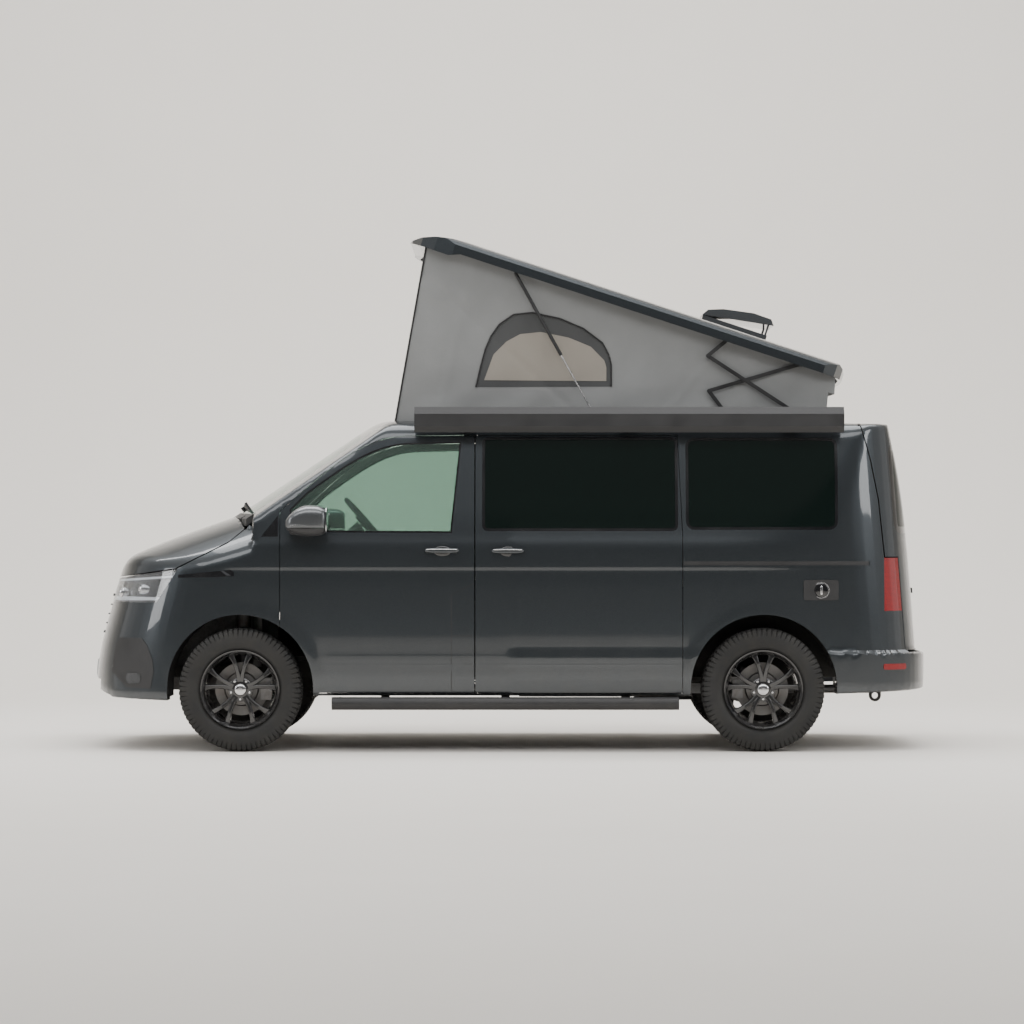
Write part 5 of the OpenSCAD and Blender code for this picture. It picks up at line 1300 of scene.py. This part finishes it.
# ---------------------------------------------------------------- fittings on the sides
def handle(name, body, x, z, sign, long=98.0):
    y = side_y(x, z)
    bar = rounded_form(name, (x, y + 24, z), (long, 11, 14), 3.2, 40)
    for v in bar.data.vertices:
        t = (v.co.x / MM - x) / long
        v.co.y -= 9 * MM * t * t
    ends = [rounded_form(name + "_foot", (x + s * (long - 16), y + 8, z), (15, 18, 12), 2.6, 20) for s in (-1, 1)]
    # painted shade: the gloss black cup behind the bar stands in for the shade in the handle's recess
    recess_shade = rounded_form(name + "_cup", (x - 4, y - 1, z - 6), (50, 4, 30), 2.2, 40)
    for obj, mat in ((bar, "body_paint"), (ends[0], "body_paint"), (ends[1], "body_paint"), (recess_shade, "gloss_black")):
        if sign < 0:
            mirror_y(obj, obj.name)
        fit(obj, body, mat)
    shine = tube(name + "_trim", [[x - long + 12, y + 31, z + 6], [x, y + 36.5, z + 7], [x + long - 12, y + 31, z + 6]], 2, 8)
    if sign < 0:
        mirror_y(shine, shine.name)
    fit(shine, body, "chrome")


def door_hinges():
    """Pillar arms and pins of the two hinges a side."""
    for side_name, sign in (("left", 1), ("right", -1)):
        for i, z in enumerate(HINGE_ZS):
            pin = tube(f"hinge_pin_{i}_{side_name}", [[HINGE_X, sign * 902, z - 6], [HINGE_X, sign * 902, z + HINGE_H + 6]], 8, 16)
            fit(pin, "door_" + side_name, "bright_steel")
            arm = block((HINGE_X + 9, 894, z), (DOOR_FRONT + 12, 908, z + HINGE_H))
            arm.name = f"hinge_arm_{i}_{side_name}"
            if sign < 0:
                mirror_y(arm, arm.name)
            arm.hide_render = False
            fit(bevelled(arm, 2), "van", "body_paint")


def door_mirror(side_name, sign):
    cx, cz = 1156.0, 1322.0
    body = "door_" + side_name
    shape = rounded_form("mirror_cap_" + side_name, (cx, 1052, cz), (122, 92, 88), 3.6, 56, 0.0)
    for v in shape.data.vertices:
        t = (v.co.x / MM - cx) / 122
        drop = max(0.0, t) ** 1.6
        v.co.z -= (v.co.z / MM - (cz - 40)) * MM * 0.55 * drop
    lower = copy_of(shape, "mirror_base_" + side_name)
    combine(lower, [block((cx - 300, 900, cz - 300), (cx + 300, 1300, cz - 44))], "INTERSECT")
    combine(shape, [block((cx - 300, 900, cz - 300), (cx + 300, 1300, cz - 40)), block((cx - 300, 900, cz - 300), (cx - 116, 1300, cz + 300))], "DIFFERENCE")
    glass = rounded_form("mirror_glass_" + side_name, (cx - 114, 1052, cz + 4), (4, 80, 72), 5, 40)
    arm = rounded_form("mirror_arm_" + side_name, (1190, 965, 1262), (70, 60, 22), 4, 32)
    turn = rounded_form("mirror_indicator_" + side_name, (cx + 30, 1136, cz - 28), (62, 8, 7), 3, 32)
    for obj, mat, node in ((shape, "silver_paint", "mirror_" + side_name), (lower, "black_trim", None), (glass, "chrome", None),
                           (arm, "black_trim", None), (turn, "lens", None)):
        if sign < 0:
            mirror_y(obj, obj.name)
        fit(obj, body, mat, node)


def side_fittings():
    for side_name, sign in (("left", 1), ("right", -1)):
        door_mirror(side_name, sign)
        handle("door_handle_" + side_name, "door_" + side_name, 390, 1152, sign)
        flush("door_moulding_" + side_name, [[1080, 464], [212, 464], [212, 501], [1092, 501]], "door_" + side_name, "body_paint", 5, 3, sign=sign)
        flush("wing_trim_" + side_name, [[1581, 1028], [1600, 1040], [1906, 1012], [1906, 996], [1700, 1000], [1581, 1006]], "van", "gloss_black", 3, 3, sign=sign)
        flush("wing_trim_end_" + side_name, [[1640, 1036], [1655, 1034], [1622, 1008], [1596, 1008]], "van", "chrome", 4.5, 3, sign=sign)
        flush("pillar_base_" + side_name, [[1330, 1232], [1425, 1232], [1330, 1350]], "van", "gloss_black", 1.5, 3, sign=sign)
        # painted shade: thin black strips stand in for the shade in the shut gap around the fuel flap
        flush("fuel_flap_gap_shade_" + side_name, band([[335, 345], [335, 898], [206, 966]], 4), "door_" + side_name, "black_trim", 0.5, 2, sign=sign)
        flush("fuel_flap_foot_" + side_name, band([[333, 663], [206, 663]], 4), "door_" + side_name, "black_trim", 0.5, 2, sign=sign)
    flush("sliding_moulding", box_line(-985, 464, 194, 501), "van", "body_paint", 5, 3)
    flush("side_moulding_right", box_line(-985, 464, 194, 501), "van", "body_paint", 5, 3, sign=-1)
    handle("sliding_handle", "van", 12, 1150, 1, 92)
    # painted shade: a black strip stands in for the shade inside the sliding door's rail slot
    flush("sliding_rail_slot", box_line(-2068, 1066, -994, 1090), "van", "black_trim", 0.6, 3)
    flush("sliding_rail_lip", box_line(-2068, 1058, -994, 1066), "van", "body_paint", 5, 3)
    flush("sliding_rail_end", box_line(-2133, 1060, -2070, 1092), "van", "body_paint", 4, 3)
    flush("hook_up_plate", rounded(-1886, 866, -1682, 983, 14), "van", "black_trim", 5, 4)
    y = side_y(-1784, 924)
    fit(revolve("hook_up_cap", [(1, -4), (40, -4), (42, 8), (36, 16), (12, 19), (1, 19)], -1784, y, 924, 48), "van", "gloss_black")
    fit(revolve("hook_up_ring", [(42, -4), (48, -4), (48, 9), (42, 9)], -1784, y, 924, 48), "van", "bright_steel")
    fit(rounded_form("hook_up_catch", (-1784, y + 18, 924), (7, 6, 26), 4, 24), "van", "bright_steel")
    for sign, name in ((1, "left"), (-1, "right")):
        flush("rear_reflector_" + name, rounded(-2290, 466, -2150, 500, 10), "van", "red_lens", 3, 3, sign=sign)


def nose_fittings():
    hw = HALF_W * 0.4
    for i, z in enumerate((668, 722, 776, 830, 884)):
        rib = panel(f"grille_rib_{i}", 1.0, prism([[-hw, z], [hw, z], [hw, z + (14 if i in (0, 4) else 8)], [-hw, z + (14 if i in (0, 4) else 8)]], 1900, 2600, "yz"), outer=-7)
        fit(rib, "van", "chrome")
    for sign, name in ((1, "left"), (-1, "right")):
        fog = flush("fog_panel_" + name, [[2311, 455], [2285, 609], [2257, 649], [2121, 647], [2088, 609], [2055, 523], [2047, 455], [2066, 358], [2213, 364]],
                    "van", "black_trim", 3, 3, low=500, high=1200, sign=sign)
        flush("fog_lamp_" + name, rounded(2126, 386, 2216, 446, 26), "van", "lens", 7, 3, low=500, sign=sign)
        bar = panel("running_light_" + name, 24, prism([[1990, LAMP_LOW + 6], [2440, LAMP_LOW - 2], [2440, LAMP_LOW + 26], [2010, LAMP_LOW + 22]], 430, 1200), outer=7)
        top = panel("running_light_top_" + name, 24, prism([[1930, above_belt(-232)], [2330, above_belt(-262)], [2330, above_belt(-274)], [1934, above_belt(-244)]], 430, 1200), outer=7)
        for i, (x, z) in enumerate(((2240, 905), (2110, 925))):
            unit = rounded_form(f"lamp_unit_{i}_{name}", (x, side_y(x, z) - 34, z), (38, 16, 30), 2.2, 32)
            if sign < 0:
                mirror_y(unit, unit.name)
            fit(unit, "van", "bright_steel")
        for obj in (bar, top):
            if sign < 0:
                mirror_y(obj, obj.name)
            fit(obj, "van", "light")
    plate = panel("front_plate", 1.0, prism([[-260, 398], [260, 398], [260, 508], [-260, 508]], 1900, 2600, "yz"), outer=-9)
    fit(plate, "van", "white_panel")


def tail_fittings():
    plate = panel("rear_plate", 1.0, prism([[-260, 760], [260, 760], [260, 870], [-260, 870]], -2600, -2000, "yz"), outer=-8)
    fit(plate, "tailgate", "white_panel")
    grip = panel("tailgate_grip", 1.0, prism([[-330, 900], [330, 900], [330, 930], [-330, 930]], -2600, -2000, "yz"), outer=-14)
    fit(grip, "tailgate", "black_trim")
    lamp = panel("high_brake_lamp", 1.0, prism([[-160, 1800], [160, 1800], [160, 1814], [-160, 1814]], -2600, -1900, "yz"), outer=-4)
    fit(lamp, "tailgate", "red_lens")


SLOT_LOOK = {"body_paint": "body_paint", "black_trim": "black_trim", "glass": "glass_rear", "lamp_lens": "lens", "red_lens": "red_lens", "steel": "steel",
             "cast_metal": "cast_metal", "tyre_rubber": "tyre_rubber", "wheel_paint": "wheel_paint", "seat_cloth": "seat_cloth",
             "canvas_cloth": "canvas_cloth", "cabinet_board": "cabinet_board", "arm_paint": "arm_paint"}
NODE_LOOK = {"underbody": "underseal", "cross_panels": "underseal", "wheel_liners": "underseal", "dashboard": "cabin_trim", "steering_wheel": "cabin_trim",
             "roof_vent": "silver_paint", "strut_rods": "bright_steel", "awning": "black_trim", "pop_top": "body_paint"}
SOFT_EDGES = {"pop_top": 7, "roof_vent": 9, "awning": 5, "side_steps": 6, "dashboard": 14, "kitchen_unit": 3, "front_seats": 26, "rear_bench": 22,
              "steering_wheel": 3, "scissor_arms_a": 1.5, "scissor_arms_b": 1.5, "top_links": 1.5, "bottom_links": 1.5, "wipers": 1.5, "scuttle": 2,
              "powertrain": 12, "fuel_tank": 16, "front_suspension": 3, "rear_suspension": 3, "exhaust": 2}


def carried_nodes():
    looks = {}
    for slot, names in SLOT_OF.items():
        for n in names:
            looks[n] = SLOT_LOOK[slot]
    looks.update(NODE_LOOK)
    for name, obj in frame["nodes"].items():
        if obj.hide_render:
            continue
        clad(obj, looks.get(name, "black_trim"))
        if name in SOFT_EDGES:
            bevelled(obj, SOFT_EDGES[name], 3 if SOFT_EDGES[name] > 5 else 2)
        smooth(obj, 34)


SLOT_OF = {"steel": ("front_suspension", "rear_suspension", "knuckle_left", "knuckle_right", "exhaust"), "cast_metal": ("powertrain",),
           "seat_cloth": ("front_seats", "rear_bench"), "cabinet_board": ("kitchen_unit",),
           "arm_paint": ("scissor_arms_a", "scissor_arms_b", "top_links", "bottom_links", "strut_tubes")}

tyres()
rims()
canvas()
door_hinges()
side_fittings()
nose_fittings()
tail_fittings()
carried_nodes()


# ---------------------------------------------------------------- stage, light and camera
def area_light(name, place, target, size, power, colour=(1, 1, 1)):
    data = bpy.data.lights.new(name, "AREA")
    data.shape, data.size, data.size_y, data.energy, data.color = "RECTANGLE", size[0], size[1], power, colour
    obj = bpy.data.objects.new(name, data)
    bpy.context.scene.collection.objects.link(obj)
    obj.location = place
    obj.rotation_euler = (Vector(target) - Vector(place)).to_track_quat("-Z", "Y").to_euler()
    return obj


def studio():
    """Pale floor that sweeps up behind, dim towards the camera and soft light from above."""
    line = [[14, 0], [-5, 0]]
    line += [[-5 - 3.5 * math.sin(math.radians(t)), 3.5 - 3.5 * math.cos(math.radians(t))] for t in range(6, 91, 6)]
    line += [[-8.5, 14]]
    verts = [[x, y, z - 0.002] for y, z in line for x in (-30, 30)]
    sweep = mesh_object("floor", verts, [[2 * i, 2 * i + 1, 2 * i + 3, 2 * i + 2] for i in range(len(line) - 1)], 1.0)
    mat = bpy.data.materials.new("studio floor")
    mat.use_nodes = True
    n = Nodes(mat.node_tree)
    p = mat.node_tree.nodes["Principled BSDF"].inputs
    n.put(p["Base Color"], n.mix(n.noise(1.5, 4.0), rgb(0.83, 0.795, 0.745), rgb(0.8, 0.765, 0.715)))
    n.put(p["Roughness"], 0.8)
    sweep.data.materials.append(mat)
    smooth(sweep, 60)
    world = bpy.data.worlds.new("studio")
    bpy.context.scene.world = world
    world.use_nodes = True
    tree = world.node_tree
    n = Nodes(tree)
    parts = n.add("SeparateXYZ", {0: n.add("TexCoord").outputs["Generated"]})
    towards = n.ramp(parts.outputs["Y"], -0.3, 0.7, 1.0, 0.0)
    above = n.ramp(parts.outputs["Z"], 0.25, 0.8)
    back = tree.nodes["Background"]
    n.put(back.inputs["Color"], n.mix(n.math("MAXIMUM", towards, above), rgb(0.1, 0.102, 0.105), rgb(0.95, 0.94, 0.92)))
    back.inputs["Strength"].default_value = WORLD_LIGHT
    area_light("overhead", (0, 1.0, 7.0), (0, 0, 0), (9, 3.5), 520)
    area_light("wall_wash", (0, -1.5, 8.5), (0, -8, 2.5), (16, 2), 900)
    area_light("floor_wash", (0, 9.0, 7.0), (0, 4.5, 0), (16, 3), 520)
    area_light("rear_edge", (-7.0, 4.0, 3.2), (-2, 0, 1), (1.5, 3), 90)
    area_light("front_edge", (7.5, 4.5, 3.0), (2, 0, 0.8), (1.5, 3), 90)


WORLD_LIGHT = 0.9
CAMERA_DISTANCE, CAMERA_HEIGHT, VIEW_WIDTH = 20.23, 1.212, 6.145


def main_camera():
    data = bpy.data.cameras.new("camera")
    data.sensor_width = 36
    data.lens = 36 * CAMERA_DISTANCE / VIEW_WIDTH
    data.shift_y = 28 / 1024
    obj = bpy.data.objects.new("camera", data)
    bpy.context.scene.collection.objects.link(obj)
    obj.location = (-0.012, CAMERA_DISTANCE, CAMERA_HEIGHT)
    obj.rotation_euler = (math.radians(90), 0, math.radians(180))
    bpy.context.scene.camera = obj


studio()
main_camera()
forget([o for o in list(bpy.context.scene.objects) if o.name.startswith(("tool", "envelope_"))])
bpy.context.view_layer.update()
